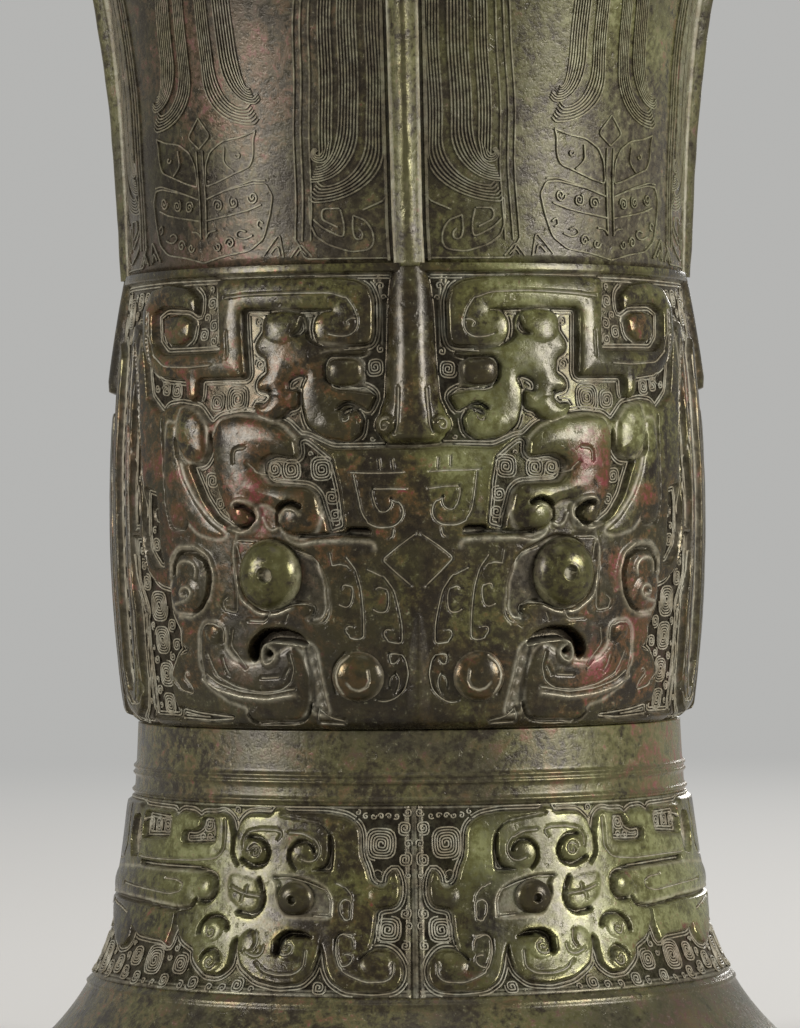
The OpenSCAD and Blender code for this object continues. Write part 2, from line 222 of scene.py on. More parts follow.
def spiral(
    s: float, z: float, r: float, turns: float, sense: int, turn: float = 0.0, square: float = 2.0
) -> Array:
    """Spiral whose radius grows evenly with its angle; a power above 2 squares it.

    Args:
        s: middle along the drum.
        z: middle in height.
        r: outer radius.
        turns: number of turns.
        sense: 1 or -1, the way it winds.
        turn: angle of its outer end.
        square: power of the rounded square it follows.

    Returns:
        Points from the middle outwards.
    """
    n = max(8, int(turns * (10 + 2.2 * r)))
    f = np.linspace(0.06, 1.0, n) ** 0.85
    a = sense * FULL_TURN * turns * (f - 1.0) + turn
    q = (np.abs(np.cos(a)) ** square + np.abs(np.sin(a)) ** square) ** (-1.0 / square)
    q = q * (1.0 if square <= 2.0 else 0.92)
    return np.stack([s + r * f * q * np.cos(a), z + r * f * q * np.sin(a)], 1)


def spaced(path: Array, closed: bool, step: float) -> tuple[Array, Array]:
    """Path with evenly spaced points, and the directions across it.

    Args:
        path: points of the path.
        closed: whether it is an outline.
        step: spacing.

    Returns:
        The points, and unit vectors square to the path on its right.
    """
    ring = np.vstack([path, path[:1]]) if closed else path
    run = np.concatenate([[0.0], np.cumsum(np.hypot(*np.diff(ring, axis=0).T))])
    at = np.arange(0.0, run[-1], step)
    line = np.stack([np.interp(at, run, ring[:, 0]), np.interp(at, run, ring[:, 1])], 1)
    along = np.roll(line, -1, 0) - np.roll(line, 1, 0) if closed else np.gradient(line, axis=0)
    along /= np.maximum(np.hypot(along[:, 0], along[:, 1]), 1e-6)[:, None]
    return line, np.stack([along[:, 1], -along[:, 0]], 1)


def stretches(line: Array, good: Array, least: int) -> list[Array]:
    """Runs of a line's good points that are long enough to keep."""
    marks = np.flatnonzero(np.diff(np.concatenate([[0], good.astype(int), [0]])))
    return [line[a:b] for a, b in zip(marks[::2], marks[1::2]) if b - a >= least]


@dataclass(frozen=True)
class Profile:
    """Radii of the vessel's ground over its height, in millimetres."""

    foot_top: float = 94.0
    belly_top: float = 206.0
    lip_z: float = 342.0
    mouth_r: float = 111.0
    neck_low: float = 69.5
    neck_rate: float = 0.032
    neck_wall: float = 3.5
    belly_mid: float = 146.0
    belly_big: float = 73.5
    belly_bow: float = 740.0
    belly_wall: float = 4.5
    corner: float = 4.0
    waist_r: float = 67.5
    rim_r: float = 101.0
    rim_h: float = 8.0
    flare: float = 24.0
    foot_wall: float = 4.5
    rim_gain: float = 0.06

    @property
    def neck_gain(self) -> float:
        """Scale of the trumpet's exponential."""
        span = self.lip_z - self.belly_top
        return (self.mouth_r - self.neck_low) / (math.exp(self.neck_rate * span) - 1.0)

    def neck(self, z: Array) -> Array:
        """Outside of the neck: a radius that opens exponentially upwards."""
        return self.neck_low + self.neck_gain * (np.exp(self.neck_rate * (z - self.belly_top)) - 1.0)

    def neck_inside(self, z: Array) -> Array:
        """Inside of the neck, an even wall measured square to the slope."""
        slope = self.neck_gain * self.neck_rate * np.exp(self.neck_rate * (z - self.belly_top))
        return self.neck(z) - self.neck_wall * np.sqrt(1.0 + slope**2)

    def belly(self, z: Array) -> Array:
        """Ground of the belly: a shallow bow with a rounded lower edge.

        Args:
            z: heights.

        Returns:
            Radii.
        """
        bow = self.belly_big - (z - self.belly_mid) ** 2 / self.belly_bow
        under = np.clip(self.foot_top + self.corner - z, 0.0, self.corner)
        return bow - self.corner + np.sqrt(self.corner**2 - under**2)

    def belly_inside(self, z: Array) -> Array:
        """Inside of the belly."""
        return self.belly_big - (z - self.belly_mid) ** 2 / self.belly_bow - self.belly_wall

    def foot(self, z: Array) -> Array:
        """Outside of the foot: a flare that dies away exponentially upwards."""
        fade = np.exp(-np.maximum(z - self.rim_h, 0.0) / self.flare)
        return self.waist_r + (self.rim_r - self.waist_r) * fade

    def foot_inside(self, z: Array) -> Array:
        """Inside of the foot, a little thicker towards the rim."""
        flared = self.foot(z) - self.foot(np.array(self.foot_top))
        return self.foot(z) - self.foot_wall - self.rim_gain * flared


PROFILE = Profile()


def wall(s: Array, z: Array, r: Array) -> Array:
    """Points in millimetres: s over the drum radius is the angle from the front, r the radius."""
    return np.stack([r * np.sin(s / DRUM), -r * np.cos(s / DRUM), z + 0.0 * r], -1)


# Drift of the casting round its axis: heights, and drum lengths there.
TWIST_Z = (0.0, 78.0, 98.0, 150.0, 166.0, 204.0, 216.0, 276.0, 342.0)
TWIST_S = (-0.4, -0.4, 1.0, 1.1, 0.2, -0.3, -0.9, -1.9, -2.4)


def twist(points: Array, z: Array) -> Array:
    """Turns points about the axis by the casting's own drift, a drum length looked up by height.

    Args:
        points: points or directions, in the last axis.
        z: heights that the drift is looked up at.

    Returns:
        The turned points.
    """
    a = np.interp(z, TWIST_Z, TWIST_S) / DRUM
    x, y, up = points[..., 0], points[..., 1], points[..., 2]
    return np.stack([x * np.cos(a) - y * np.sin(a), x * np.sin(a) + y * np.cos(a), up], -1)


class Shell:
    """Gathers closed patches of one piece and turns them into a mesh object."""

    def __init__(self, name: str) -> None:
        """Starts an empty piece.

        Args:
            name: name of the piece.
        """
        self.name = name
        self.points: list[Array] = []
        self.faces: Faces = []
        self.masks: dict[str, list[Array]] = {k: [] for k in MASKS}
        self.normals: list[Array] = []
        self.count = 0

    def add(
        self, points: Array, faces: Faces, flip: bool = False, normals: Array | None = None,
        **masks: Array | float,
    ) -> None:
        """Adds a patch.

        Args:
            points: vertices in millimetres, any leading shape.
            faces: arrays of vertex numbers, one face a row, each with its smooth flag.
            flip: whether the faces are turned round.
            normals: shading directions of the first vertices, where they run on into the next piece.
            masks: finish masks, an array of the vertices' shape or one value.
        """
        flat = points.reshape(-1, 3)
        self.points.append(twist(flat, flat[:, 2]))
        way = np.zeros_like(flat)
        if normals is not None:
            way[: len(normals)] = twist(normals, flat[: len(normals), 2])
        self.normals.append(way)
        for rows, smooth in faces:
            self.faces.append(((rows[:, ::-1] if flip else rows) + self.count, smooth))
        for k in MASKS:
            value = np.asarray(masks.get(k, 0.0), float)
            shape = points.shape[:-1] if value.size != len(flat) else value.shape
            self.masks[k].append(np.broadcast_to(value, shape).ravel())
        self.count += len(flat)

    def build(self, finish: "Finish", slot: str, *nodes: str) -> bpy.types.Object:
        """Makes the object, puts it on the root body and lets it stand for CAD nodes.

        Args:
            finish: surface finish.
            slot: not used.
            nodes: CAD nodes that the piece stands for.

        Returns:
            The new object.
        """
        mesh = bpy.data.meshes.new(self.name)
        points = np.vstack(self.points) * MM
        loops = np.concatenate([f.ravel() for f, _ in self.faces])
        sizes = np.concatenate([np.full(len(f), f.shape[1]) for f, _ in self.faces])
        smooth = np.concatenate([np.full(len(f), k) for f, k in self.faces])
        mesh.vertices.add(len(points))
        mesh.vertices.foreach_set("co", points.astype(np.float32).ravel())
        mesh.loops.add(len(loops))
        mesh.loops.foreach_set("vertex_index", loops.astype(np.int32))
        mesh.polygons.add(len(sizes))
        starts = np.concatenate([[0], np.cumsum(sizes)[:-1]])
        mesh.polygons.foreach_set("loop_start", starts.astype(np.int32))
        mesh.polygons.foreach_set("use_smooth", smooth)
        mesh.update(calc_edges=True)
        normals = np.vstack(self.normals)
        if normals.any():
            mesh.normals_split_custom_set_from_vertices(normals.tolist())
        for k, parts in self.masks.items():
            layer = mesh.attributes.new(k, "FLOAT", "POINT")
            values = np.clip(np.concatenate(parts), 0.0, 1.0)
            layer.data.foreach_set("value", values.astype(np.float32))
        mesh.materials.append(finish.material())
        piece = bpy.data.objects.new(self.name, mesh)
        bpy.context.scene.collection.objects.link(piece)
        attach(piece, "root")
        if nodes:
            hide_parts(*nodes)
        LOG.info("%s: %d vertices, %d triangles", self.name, len(points), int((sizes - 2).sum()))
        return piece


def grid_faces(rows: int, columns: int, wrap: bool = False) -> Array:
    """Quads of a grid whose rows run upwards and whose columns run anticlockwise.

    Args:
        rows: number of rows.
        columns: number of columns.
        wrap: whether the last column joins the first.

    Returns:
        One quad a row.
    """
    n = columns if wrap else columns - 1
    i, j = np.meshgrid(np.arange(n), np.arange(rows - 1))
    i, j = i.ravel(), j.ravel()
    k = (i + 1) % columns
    low, high = j * columns, (j + 1) * columns
    return np.stack([low + i, low + k, high + k, high + i], 1)


def turned(profile: Array, turns: int) -> Array:
    """Points of a profile carried round the axis in even steps.

    Args:
        profile: radius and height of the profile's points.
        turns: steps round the axis.

    Returns:
        Points by profile point and step.
    """
    a = np.arange(turns) * DRUM * 2 * math.pi / turns
    return wall(a[None, :], profile[:, 1:], profile[:, :1] + 0.0 * a[None, :])


def revolved(profile: Array, turns: int) -> tuple[Array, Faces]:
    """Ring swept by a closed profile that runs up the outside and down the inside.

    Args:
        profile: radius and height of the loop's points.
        turns: steps round the axis.

    Returns:
        Vertices by profile point and step, and faces.
    """
    points = turned(profile, turns)
    faces = grid_faces(len(profile), turns, True)
    i = np.arange(turns)
    k, last = (i + 1) % turns, (len(profile) - 1) * turns
    seam = np.stack([last + i, last + k, k, i], 1)
    return points, [(faces, True), (seam, True)]


class Field:
    """Relief of one quarter on a grid of drum length by height: height over the ground, and earth."""

    BARE_EARTH = 0.12

    def __init__(self, low: float, high: float, pitch: float) -> None:
        """Starts a flat field between two heights.

        Args:
            low: lower height.
            high: upper height.
            pitch: spacing of the grid.
        """
        self.s = np.linspace(0.0, QUARTER, int(round(QUARTER / pitch)) + 1)
        self.z = np.linspace(low, high, int(round((high - low) / pitch)) + 1)
        self.height = np.zeros((len(self.z), len(self.s)))
        self.earth = np.full_like(self.height, self.BARE_EARTH)
        self.offset = 0.0

    def near(self, path: Array, closed: bool, margin: float) -> tuple[tuple[slice, slice], Array]:
        """Part of the grid round a path, and the distances there.

        Args:
            path: points of the path.
            closed: whether it is an outline.
            margin: room kept round it.

        Returns:
            Row and column slices, and distances.
        """
        path = path - np.array([self.offset, 0.0])
        low, high = path.min(0) - margin, path.max(0) + margin
        columns = slice(*np.searchsorted(self.s, [low[0], high[0]]))
        rows = slice(*np.searchsorted(self.z, [low[1], high[1]]))
        s, z = np.meshgrid(self.s[columns], self.z[rows])
        return (rows, columns), span_distance(s, z, path, closed)

    def sample(self, sheet: Array, s: Array, z: Array) -> Array:
        """Value of a sheet of the field between its grid points, by straight blending.

        Args:
            sheet: values on the grid.
            s: places along the drum.
            z: heights.

        Returns:
            Blended values.
        """
        x = np.clip((s - self.s[0]) / (self.s[1] - self.s[0]), 0, len(self.s) - 1.001)
        y = np.clip((z - self.z[0]) / (self.z[1] - self.z[0]), 0, len(self.z) - 1.001)
        i, j = x.astype(int), y.astype(int)
        f, g = x - i, y - j
        low = sheet[j, i] * (1 - f) + sheet[j, i + 1] * f
        return low * (1 - g) + (sheet[j + 1, i] * (1 - f) + sheet[j + 1, i + 1] * f) * g


@dataclass(frozen=True)
class Plate:
    """Form with an outline, set to a level: a sloped edge, then a top that swells towards its middle."""

    outline: str
    level: float
    bevel: float = 0.7
    swell: float = 0.5
    reach: float = 2.2
    earth: float = 0.0
    lines: int = 2

    PROUD = 0.5
    SUNK = -0.2
    MARGIN = 2.5
    FOOT_AT = 0.5
    FOOT_W = 0.42
    FOOT_EARTH = 0.72
    LINE_AT = 0.62
    LINE_GAP = 0.74
    LINE_STEP = 0.65

    @property
    def side(self) -> float:
        """1 for a form that stands out of the ground, and -1 for a sunk one."""
        return 1.0 if self.level > self.PROUD else -1.0

    @property
    def edged(self) -> bool:
        """Whether earth and lines follow the edge, as they do unless the form is a hollow sunk below the
        ground.
        """
        return self.level > self.SUNK

    def apply(self, field_: Field) -> None:
        """Blends the field to the form's top by a soft step over the bevel, with earth along its foot.

        Args:
            field_: relief to work on.
        """
        window, d = field_.near(rounded(pts(self.outline), True), True, self.MARGIN)
        foot = np.exp(-(((d + self.side * self.FOOT_AT) / self.FOOT_W) ** 2))
        share = smoothstep(d / self.bevel + 0.5)
        top = self.level + self.swell * (1.0 - np.exp(-np.maximum(d, 0.0) / self.reach))
        field_.height[window] += share * (top - field_.height[window])
        field_.earth[window] += share * (self.earth - field_.earth[window])
        if self.edged:
            field_.earth[window] = np.maximum(field_.earth[window], self.FOOT_EARTH * foot)

    def edge_lines(self, offset: float) -> list[tuple[Array, Array, float]]:
        """Lines that run round the form on the ground: its outline moved out, or in for a sunk one.

        Args:
            offset: shift of the drawing along the drum.

        Returns:
            Line, outline and distance of each.
        """
        path = rounded(pts(self.outline), True) - np.array([offset, 0.0])
        line, right = spaced(path, True, self.LINE_STEP)
        area = np.sum(path[:, 0] * np.roll(path[:, 1], -1) - np.roll(path[:, 0], -1) * path[:, 1])
        out = right * np.sign(area) * self.side
        away = self.LINE_AT + self.LINE_GAP * np.arange(self.lines if self.edged else 0)
        return [(line + out * d, path, d) for d in away]


@dataclass(frozen=True)
class Cut:
    """Incised line, a rounded groove along a path, with earth lying in it."""

    path: str
    width: float = 0.86
    depth: float = 0.55
    earth: float = 0.3

    def line(self) -> Array:
        """Middle line of the groove."""
        return rounded(pts(self.path), False)

    def apply(self, field_: Field) -> None:
        """Lowers the field by a parabola of the distance from the path.

        Args:
            field_: relief to work on.
        """
        window, d = field_.near(self.line(), False, self.width)
        groove = np.clip(1.0 - (2.0 * d / self.width) ** 2, 0.0, 1.0)
        field_.height[window] -= self.depth * groove
        field_.earth[window] = np.maximum(field_.earth[window], self.earth * groove)


@dataclass(frozen=True)
class Slot:
    """Deep shadowed channel along a path, down to a level of its own."""

    path: str
    width: float = 1.7
    floor: float = 0.1

    FLAT = 0.2
    BANK = 0.35
    EARTH = 0.35

    def apply(self, field_: Field) -> None:
        """Blends the field down to the channel's floor near the path.

        Args:
            field_: relief to work on.
        """
        window, d = field_.near(rounded(pts(self.path), False), False, self.width)
        share = 1.0 - smoothstep((d - self.width * self.FLAT) / (self.width * self.BANK))
        field_.height[window] += share * np.minimum(self.floor - field_.height[window], 0.0)
        field_.earth[window] += share * (self.EARTH - field_.earth[window])


@dataclass(frozen=True)
class Cord:
    """Raised thread along a path."""

    path: str
    width: float = 0.9
    high: float = 0.4
    earth: float = 0.6

    def apply(self, field_: Field) -> None:
        """Raises the field by a bell of the distance from the path.

        Args:
            field_: relief to work on.
        """
        window, d = field_.near(rounded(pts(self.path), False), False, self.width * 1.5)
        bell = np.exp(-((2.0 * d / self.width) ** 2))
        field_.height[window] += self.high * bell
        field_.earth[window] = np.maximum(field_.earth[window], self.earth * bell)


@dataclass(frozen=True)
class Boss:
    """Oval swelling on top of what is there."""

    s: float
    z: float
    across: float
    up: float
    high: float

    def apply(self, field_: Field) -> None:
        """Raises the field by a dome, a root of one minus the squared distance.

        Args:
            field_: relief to work on.
        """
        s, z = np.meshgrid(field_.s, field_.z)
        rho = ((s - self.s + field_.offset) / self.across) ** 2 + ((z - self.z) / self.up) ** 2
        field_.height += self.high * np.clip(1.0 - rho, 0.0, 1.0) ** 0.6


@dataclass(frozen=True)
class Roof:
    """Upright ridge on a centre line, from rows of height, half width and crest.

    A crease is a ridge that is added to the forms it crosses.
    """

    centre: float
    rows: str
    power: float = 1.7
    crease: bool = False

    def apply(self, field_: Field) -> None:
        """Lifts the field to, or by, crest times one minus a power of the distance from the centre line.

        Args:
            field_: relief to work on.
        """
        rows = pts(self.rows)
        s, z = np.meshgrid(field_.s, field_.z)
        half = np.interp(z, rows[:, 0], rows[:, 1])
        crest = np.interp(z, rows[:, 0], rows[:, 2], left=0.0, right=0.0)
        x = np.abs(s - self.centre) / half
        top = crest * (1.0 - np.minimum(x, 1.0) ** self.power)
        if self.crease:
            field_.height += top
            return
        share = smoothstep((1.06 - x) * 6.0) * (crest > 0.0)
        field_.earth -= share * field_.earth
        field_.height = np.where(x < 1.0, np.maximum(field_.height, top), field_.height)


@dataclass(frozen=True)
class Curl:
    """Incised spiral."""

    s: float
    z: float
    r: float
    turns: float
    sense: int = 1
    turn: float = 0.0
    depth: float = 0.5
    width: float = 0.8
    earth: float = 0.3

    def line(self) -> Array:
        """Middle line of the groove."""
        return spiral(self.s, self.z, self.r, self.turns, self.sense, self.turn)

    apply = Cut.apply


Stroke = Plate | Cut | Slot | Cord | Boss | Roof | Curl


def thread_strip(paths: list[Array], width: float, high: float) -> tuple[Array, Array, Faces]:
    """Thin raised threads with a flat-topped section, as drum places and heights over the base.

    Args:
        paths: drum points of each thread.
        width: width of a thread's foot.
        high: height of its top.

    Returns:
        Drum points with the four section points of each path point, their heights, and closed faces.
    """
    along, p = np.vstack([np.gradient(k, axis=0) for k in paths]), np.vstack(paths)
    along /= np.maximum(np.hypot(along[:, 0], along[:, 1]), 1e-6)[:, None]
    across = np.stack([-along[:, 1], along[:, 0]], 1) * width / 2
    points = np.stack([p - across, p - across * TOP_SHARE, p + across * TOP_SHARE, p + across], 1)
    section = np.array([-THREAD_SINK, high, high, -THREAD_SINK])
    heights = np.broadcast_to(section, (len(p), 4))
    sizes = np.array([len(k) for k in paths])
    ends = np.cumsum(sizes) - 1
    i = np.setdiff1d(np.arange(len(p)), ends)
    sides = [4 * i[:, None] + np.array([k, (k + 1) % 4, 4 + (k + 1) % 4, 4 + k]) for k in range(4)]
    first = 4 * (ends - sizes + 1)[:, None] + np.arange(4)[None, ::-1]
    last = 4 * ends[:, None] + np.arange(4)[None, :]
    return points, heights, [(np.vstack(sides), False), (np.vstack([first, last]), False)]


@dataclass(frozen=True)
class Spot:
    """Soft patch of patina on a quarter."""

    s: float
    z: float
    r: float
    strength: float
    quarter: Quarter = Quarter.FRONT_RIGHT


@dataclass
class Relief:
    """One register of the vessel: its strokes, its thunder-spiral threads and its wall."""

    low: float
    high: float
    pitch: float
    layers: list[tuple[float, list[Stroke]]]
    spirals: list[tuple[float, float, float]]
    red: list[Spot]
    green: list[Spot]
    thread_w: float = 0.56
    thread_h: float = 0.36
    thread_gap: float = 0.70
    # Pale earth colour on the thread tops: a painted highlight.
    thread_highlight: float = 0.82
    inlay_w: float = 0.4
    inlay_h: float = 0.26
    # Pale earth in the incised lines, set on their lit wall: real earth that also paints a highlight.
    inlay_earth_and_highlight: float = 0.9
    sheet: Field = field(init=False)
    threads: list[Array] = field(init=False)
    earth_and_highlight_inlays: list[Array] = field(init=False)

    BORDER = 0.3
    LINE_TOP = 0.36
    LINE_CLEAR = 0.55
    GROOVE = 0.15
    GROUND_LOW = -0.35
    GROUND_TOP = 0.42
    SPIRAL_STEP = 0.62
    SPIRAL_ROOM = 0.35
    SPIRAL_GAP = 0.2
    SPIRAL_LEAST = 0.7
    SPIRAL_MOST = 4.3
    SPIRALS = 520
    INNER_ROWS = 7

    def __post_init__(self) -> None:
        """Works the strokes into a field and fills its ground with spirals."""
        self.sheet = Field(self.low, self.high, self.pitch)
        for self.sheet.offset, strokes in self.layers:
            for stroke in strokes:
                stroke.apply(self.sheet)
        edges = self.contours()
        self.threads = edges + self.fill(np.vstack(edges))
        self.earth_and_highlight_inlays = self.earth_and_highlight_lines()

    def contours(self) -> list[Array]:
        """Threads along the edges of the forms, kept where they lie on open ground and clear of each other.

        Returns:
            The threads' paths.
        """
        kept: list[Array] = []
        taken = np.full((1, 2), -99.0)
        for offset, strokes in self.layers:
            plates = [k for k in strokes if isinstance(k, Plate)]
            for line, path, d in [edge for k in plates for edge in k.edge_lines(offset)]:
                s, z = line.T
                good = self.sheet.sample(self.sheet.height, s, z) < self.LINE_TOP
                good &= (s > self.BORDER) & (s < QUARTER - self.BORDER)
                good &= (z > self.low + self.BORDER) & (z < self.high - self.BORDER)
                good &= np.abs(span_distance(s, z, path, True)) > 0.94 * d
                away = np.hypot(s[:, None] - taken[None, :, 0], z[:, None] - taken[None, :, 1])
                good &= away.min(1) > self.LINE_CLEAR
                runs = stretches(line, good, 4)
                kept += runs
                taken = np.vstack([taken] + runs)
        return kept

    def earth_and_highlight_lines(self) -> list[Array]:
        """Lines of earth in the incised grooves, set on the wall that faces out and up, so that their pale
        colour also paints that lit wall's highlight.

        Returns:
            Paths of the lines.
        """
        kept: list[Array] = []
        f = self.sheet
        for offset, strokes in self.layers:
            for k in [k for k in strokes if isinstance(k, (Cut, Curl))]:
                line, side = spaced(k.line() - np.array([offset, 0.0]), False, 0.6)
                # Shifts each line onto the wall that faces out and up, which the side and top lamps light: a
                # painted highlight.
                side = side * np.where(side @ np.array([-1.0, -0.8]) > 0.0, 1.0, -1.0)[:, None]
                banks = [f.sample(f.height, *(line + w * 0.8 * side).T) for w in (-1.0, 1.0)]
                good = np.mean(banks, 0) - f.sample(f.height, *line.T) > self.GROOVE
                kept += stretches(line + 0.17 * side, good, 3)
        return kept

    def fill(self, edges: Array) -> list[Array]:
        """Packs the open ground with spirals: the set ones first, then always the widest free place.

        Args:
            edges: points of the threads that are there already.

        Returns:
            The spirals' paths.
        """
        rng = np.random.default_rng(5)
        step = max(1, int(round(self.SPIRAL_STEP / self.pitch)))
        s, z = np.meshgrid(self.sheet.s[::step], self.sheet.z[::step])
        ground = self.sheet.height[::step, ::step]
        free = (ground < self.GROUND_TOP) & (ground > self.GROUND_LOW)
        edge = free & ~(blur(free.astype(float), 1) > 0.999)
        room = np.stack([s[free], z[free]], 1)
        forms = np.stack([s[~free], z[~free]], 1)[::3]
        bank = np.vstack([np.stack([s[edge], z[edge]], 1), forms, edges])
        across, up = room.T
        gap = np.min([across, QUARTER - across, up - self.low, self.high - up], 0)
        for part in np.array_split(np.arange(len(room)), max(1, len(room) // 900)):
            away = np.hypot(across[part, None] - bank[None, :, 0], up[part, None] - bank[None, :, 1])
            gap[part] = np.minimum(gap[part], away.min(1))
        paths: list[Array] = []
        set_ones = list(self.spirals)
        for _ in range(self.SPIRALS):
            if set_ones:
                a, b, r = set_ones.pop(0)
            else:
                k = int(np.argmax(gap))
                a, b = room[k]
                r = min(float(gap[k]) - self.SPIRAL_ROOM, self.SPIRAL_MOST)
                if r < self.SPIRAL_LEAST:
                    break
            gap = np.minimum(gap, np.hypot(across - a, up - b) - r - self.SPIRAL_GAP)
            shape = 3.4 if r > 1.0 else 2.4
            sense = 1 if rng.random() < 0.5 else -1
            turns = max(1.3, r / self.thread_gap)
            paths.append(spiral(a, b, r, turns, sense, rng.uniform(0, 6.28), shape))
        return paths

    def flaws(self, quarter: Quarter) -> tuple[Array, Array, Array]:
        """The quarter's own drift of the drawing, fading out at the borders, and its casting waves.

        Args:
            quarter: the quarter.

        Returns:
            Shifts along the drum and in height, and a height change.
        """
        f = self.sheet
        shape = f.height.shape
        cells = (max(3, int((self.high - self.low) / 14)), 8)
        fade = smoothstep(np.minimum(f.s, QUARTER - f.s) / 9.0)[None, :]
        fade = fade * smoothstep(np.minimum(f.z - self.low, self.high - f.z) / 7.0)[:, None]
        ds = soft_noise(shape, cells, quarter.seed) * fade * 0.55
        dz = soft_noise(shape, cells, quarter.seed + 1) * fade * 0.45
        fine = soft_noise(shape, (cells[0] * 4, 34), quarter.seed + 2) * 0.06
        finer = soft_noise(shape, (cells[0] * 11, 90), quarter.seed + 3) * 0.035
        return ds, dz, (fine + finer) * np.minimum(fade + 0.2, 1.0)

    def masks(self, quarter: Quarter, height: Array) -> dict[str, Array]:
        """Finish masks: earth in hollows, wear on crests, patches of red and green, and painted shade on the
        low ground and in hollows.

        Args:
            quarter: the quarter.
            height: relief of the quarter.

        Returns:
            Masks on the grid by name.
        """
        f = self.sheet
        s, z = np.meshgrid(f.s, f.z)
        reach = max(2, int(round(1.1 / self.pitch)))
        stand = height - blur(blur(height, reach), reach)
        patch = soft_noise(height.shape, (7, 9), quarter.seed + 4)
        hollow = 0.04 * smoothstep((-stand - 0.15) / 0.7)
        out = {
            "earth": np.clip(f.earth * (0.8 + 0.25 * patch) + hollow, 0.0, 1.0),
            "wear": smoothstep((stand - 0.05) / 0.55) * 0.8 + 0.2 * smoothstep(height / 2.0),
            # Painted shade: darker where the relief is low and where a point lies below its surroundings.
            "deep": 0.8 * smoothstep((0.6 - height) / 0.5) + 0.6 * smoothstep((-stand - 0.15) / 0.6),
            "red": 0.22 * smoothstep(patch - 0.25),
            "green": 0.35 * smoothstep(0.3 - patch),
        }
        for name, spots in (("red", self.red), ("green", self.green)):
            for k in [k for k in spots if k.quarter is quarter]:
                away = (s - k.s) ** 2 + (z - k.z) ** 2
                out[name] = out[name] + k.strength * np.exp(-away / k.r**2)
        return out

    def panel(self, name: str, quarter: Quarter, rows: slice, outside: Radius, inside: Radius) -> Shell:
        """Closed wall panel of a quarter: relief outside, plain wall inside, flat cuts round it.

        Args:
            name: name of the piece.
            quarter: the quarter.
            rows: rows of the field that the panel takes.
            outside: ground radius by height.
            inside: inner radius by height.

        Returns:
            The panel, not yet a mesh.
        """
        f, shell = self.sheet, Shell(name)
        ds, dz, wave = self.flaws(quarter)
        height = f.height + wave
        masks = self.masks(quarter, height)
        s, z = np.meshgrid(f.s, f.z)
        s, z = s + ds, z + dz
        front = wall(s, z, outside(z) + height)
        way = np.cross(np.gradient(front, axis=1), np.gradient(front, axis=0))
        way = (way / np.linalg.norm(way, axis=-1, keepdims=True))[rows]
        front = front[rows]
        nv, nu = front.shape[:2]
        steps = self.INNER_ROWS
        lo, hi = f.z[rows][0], f.z[rows][-1]
        zi = np.linspace(lo, hi, steps)[:, None] + 0.0 * f.s[None, :]
        back = wall(f.s[None, :] + 0.0 * zi, zi, inside(zi))
        n = nv * nu
        i = np.arange(nu - 1)
        top_f, top_b = (nv - 1) * nu + i, n + (steps - 1) * nu + i
        start = np.concatenate([np.arange(nv) * nu, n + np.arange(steps)[::-1] * nu])
        end = np.concatenate([np.arange(nv)[::-1] * nu, n + np.arange(steps) * nu]) + nu - 1
        faces = [
            (grid_faces(nv, nu), True),
            (n + grid_faces(steps, nu)[:, ::-1], True),
            (np.stack([i + 1, i, n + i, n + i + 1], 1), False),
            (np.stack([top_f, top_f + 1, top_b + 1, top_b], 1), False),
            (start[None, :], False),
            (end[None, :], False),
        ]
        spare = np.zeros((steps, nu))
        both = {k: np.concatenate([v[rows], spare]) for k, v in masks.items()}
        points = np.concatenate([front.reshape(-1, 3), back.reshape(-1, 3)])
        shell.add(quarter.place(points), faces, quarter.flips, quarter.place(way.reshape(-1, 3)), **both)
        strips = (
            (self.threads, self.thread_w, self.thread_h, self.thread_highlight),
            (self.earth_and_highlight_inlays, self.inlay_w, self.inlay_h, self.inlay_earth_and_highlight),
        )
        for lines, width, high, earth in strips:
            paths = [p for p in lines if lo < p[0, 1] <= hi]
            p, up, faces = thread_strip(paths, width, high)
            a, b = p[..., 0], p[..., 1]
            base = f.sample(height, a, b)
            tint = f.sample(masks["red"], a, b)
            a, b = a + f.sample(ds, a, b), b + f.sample(dz, a, b)
            points = wall(a, b, outside(b) + base + up)
            # Painted light on the strips: the pale earth colour of their tops also paints a highlight, and
            # their sunk feet get painted shade.
            shell.add(
                quarter.place(points.reshape(-1, 3)),
                faces,
                quarter.flips,
                earth=earth * (up > 0.0),
                wear=0.5 * (up > 0.0),
                red=tint,
                deep=1.0 * (up < 0.0),
            )
        return shell


FL = Quarter.FRONT_LEFT

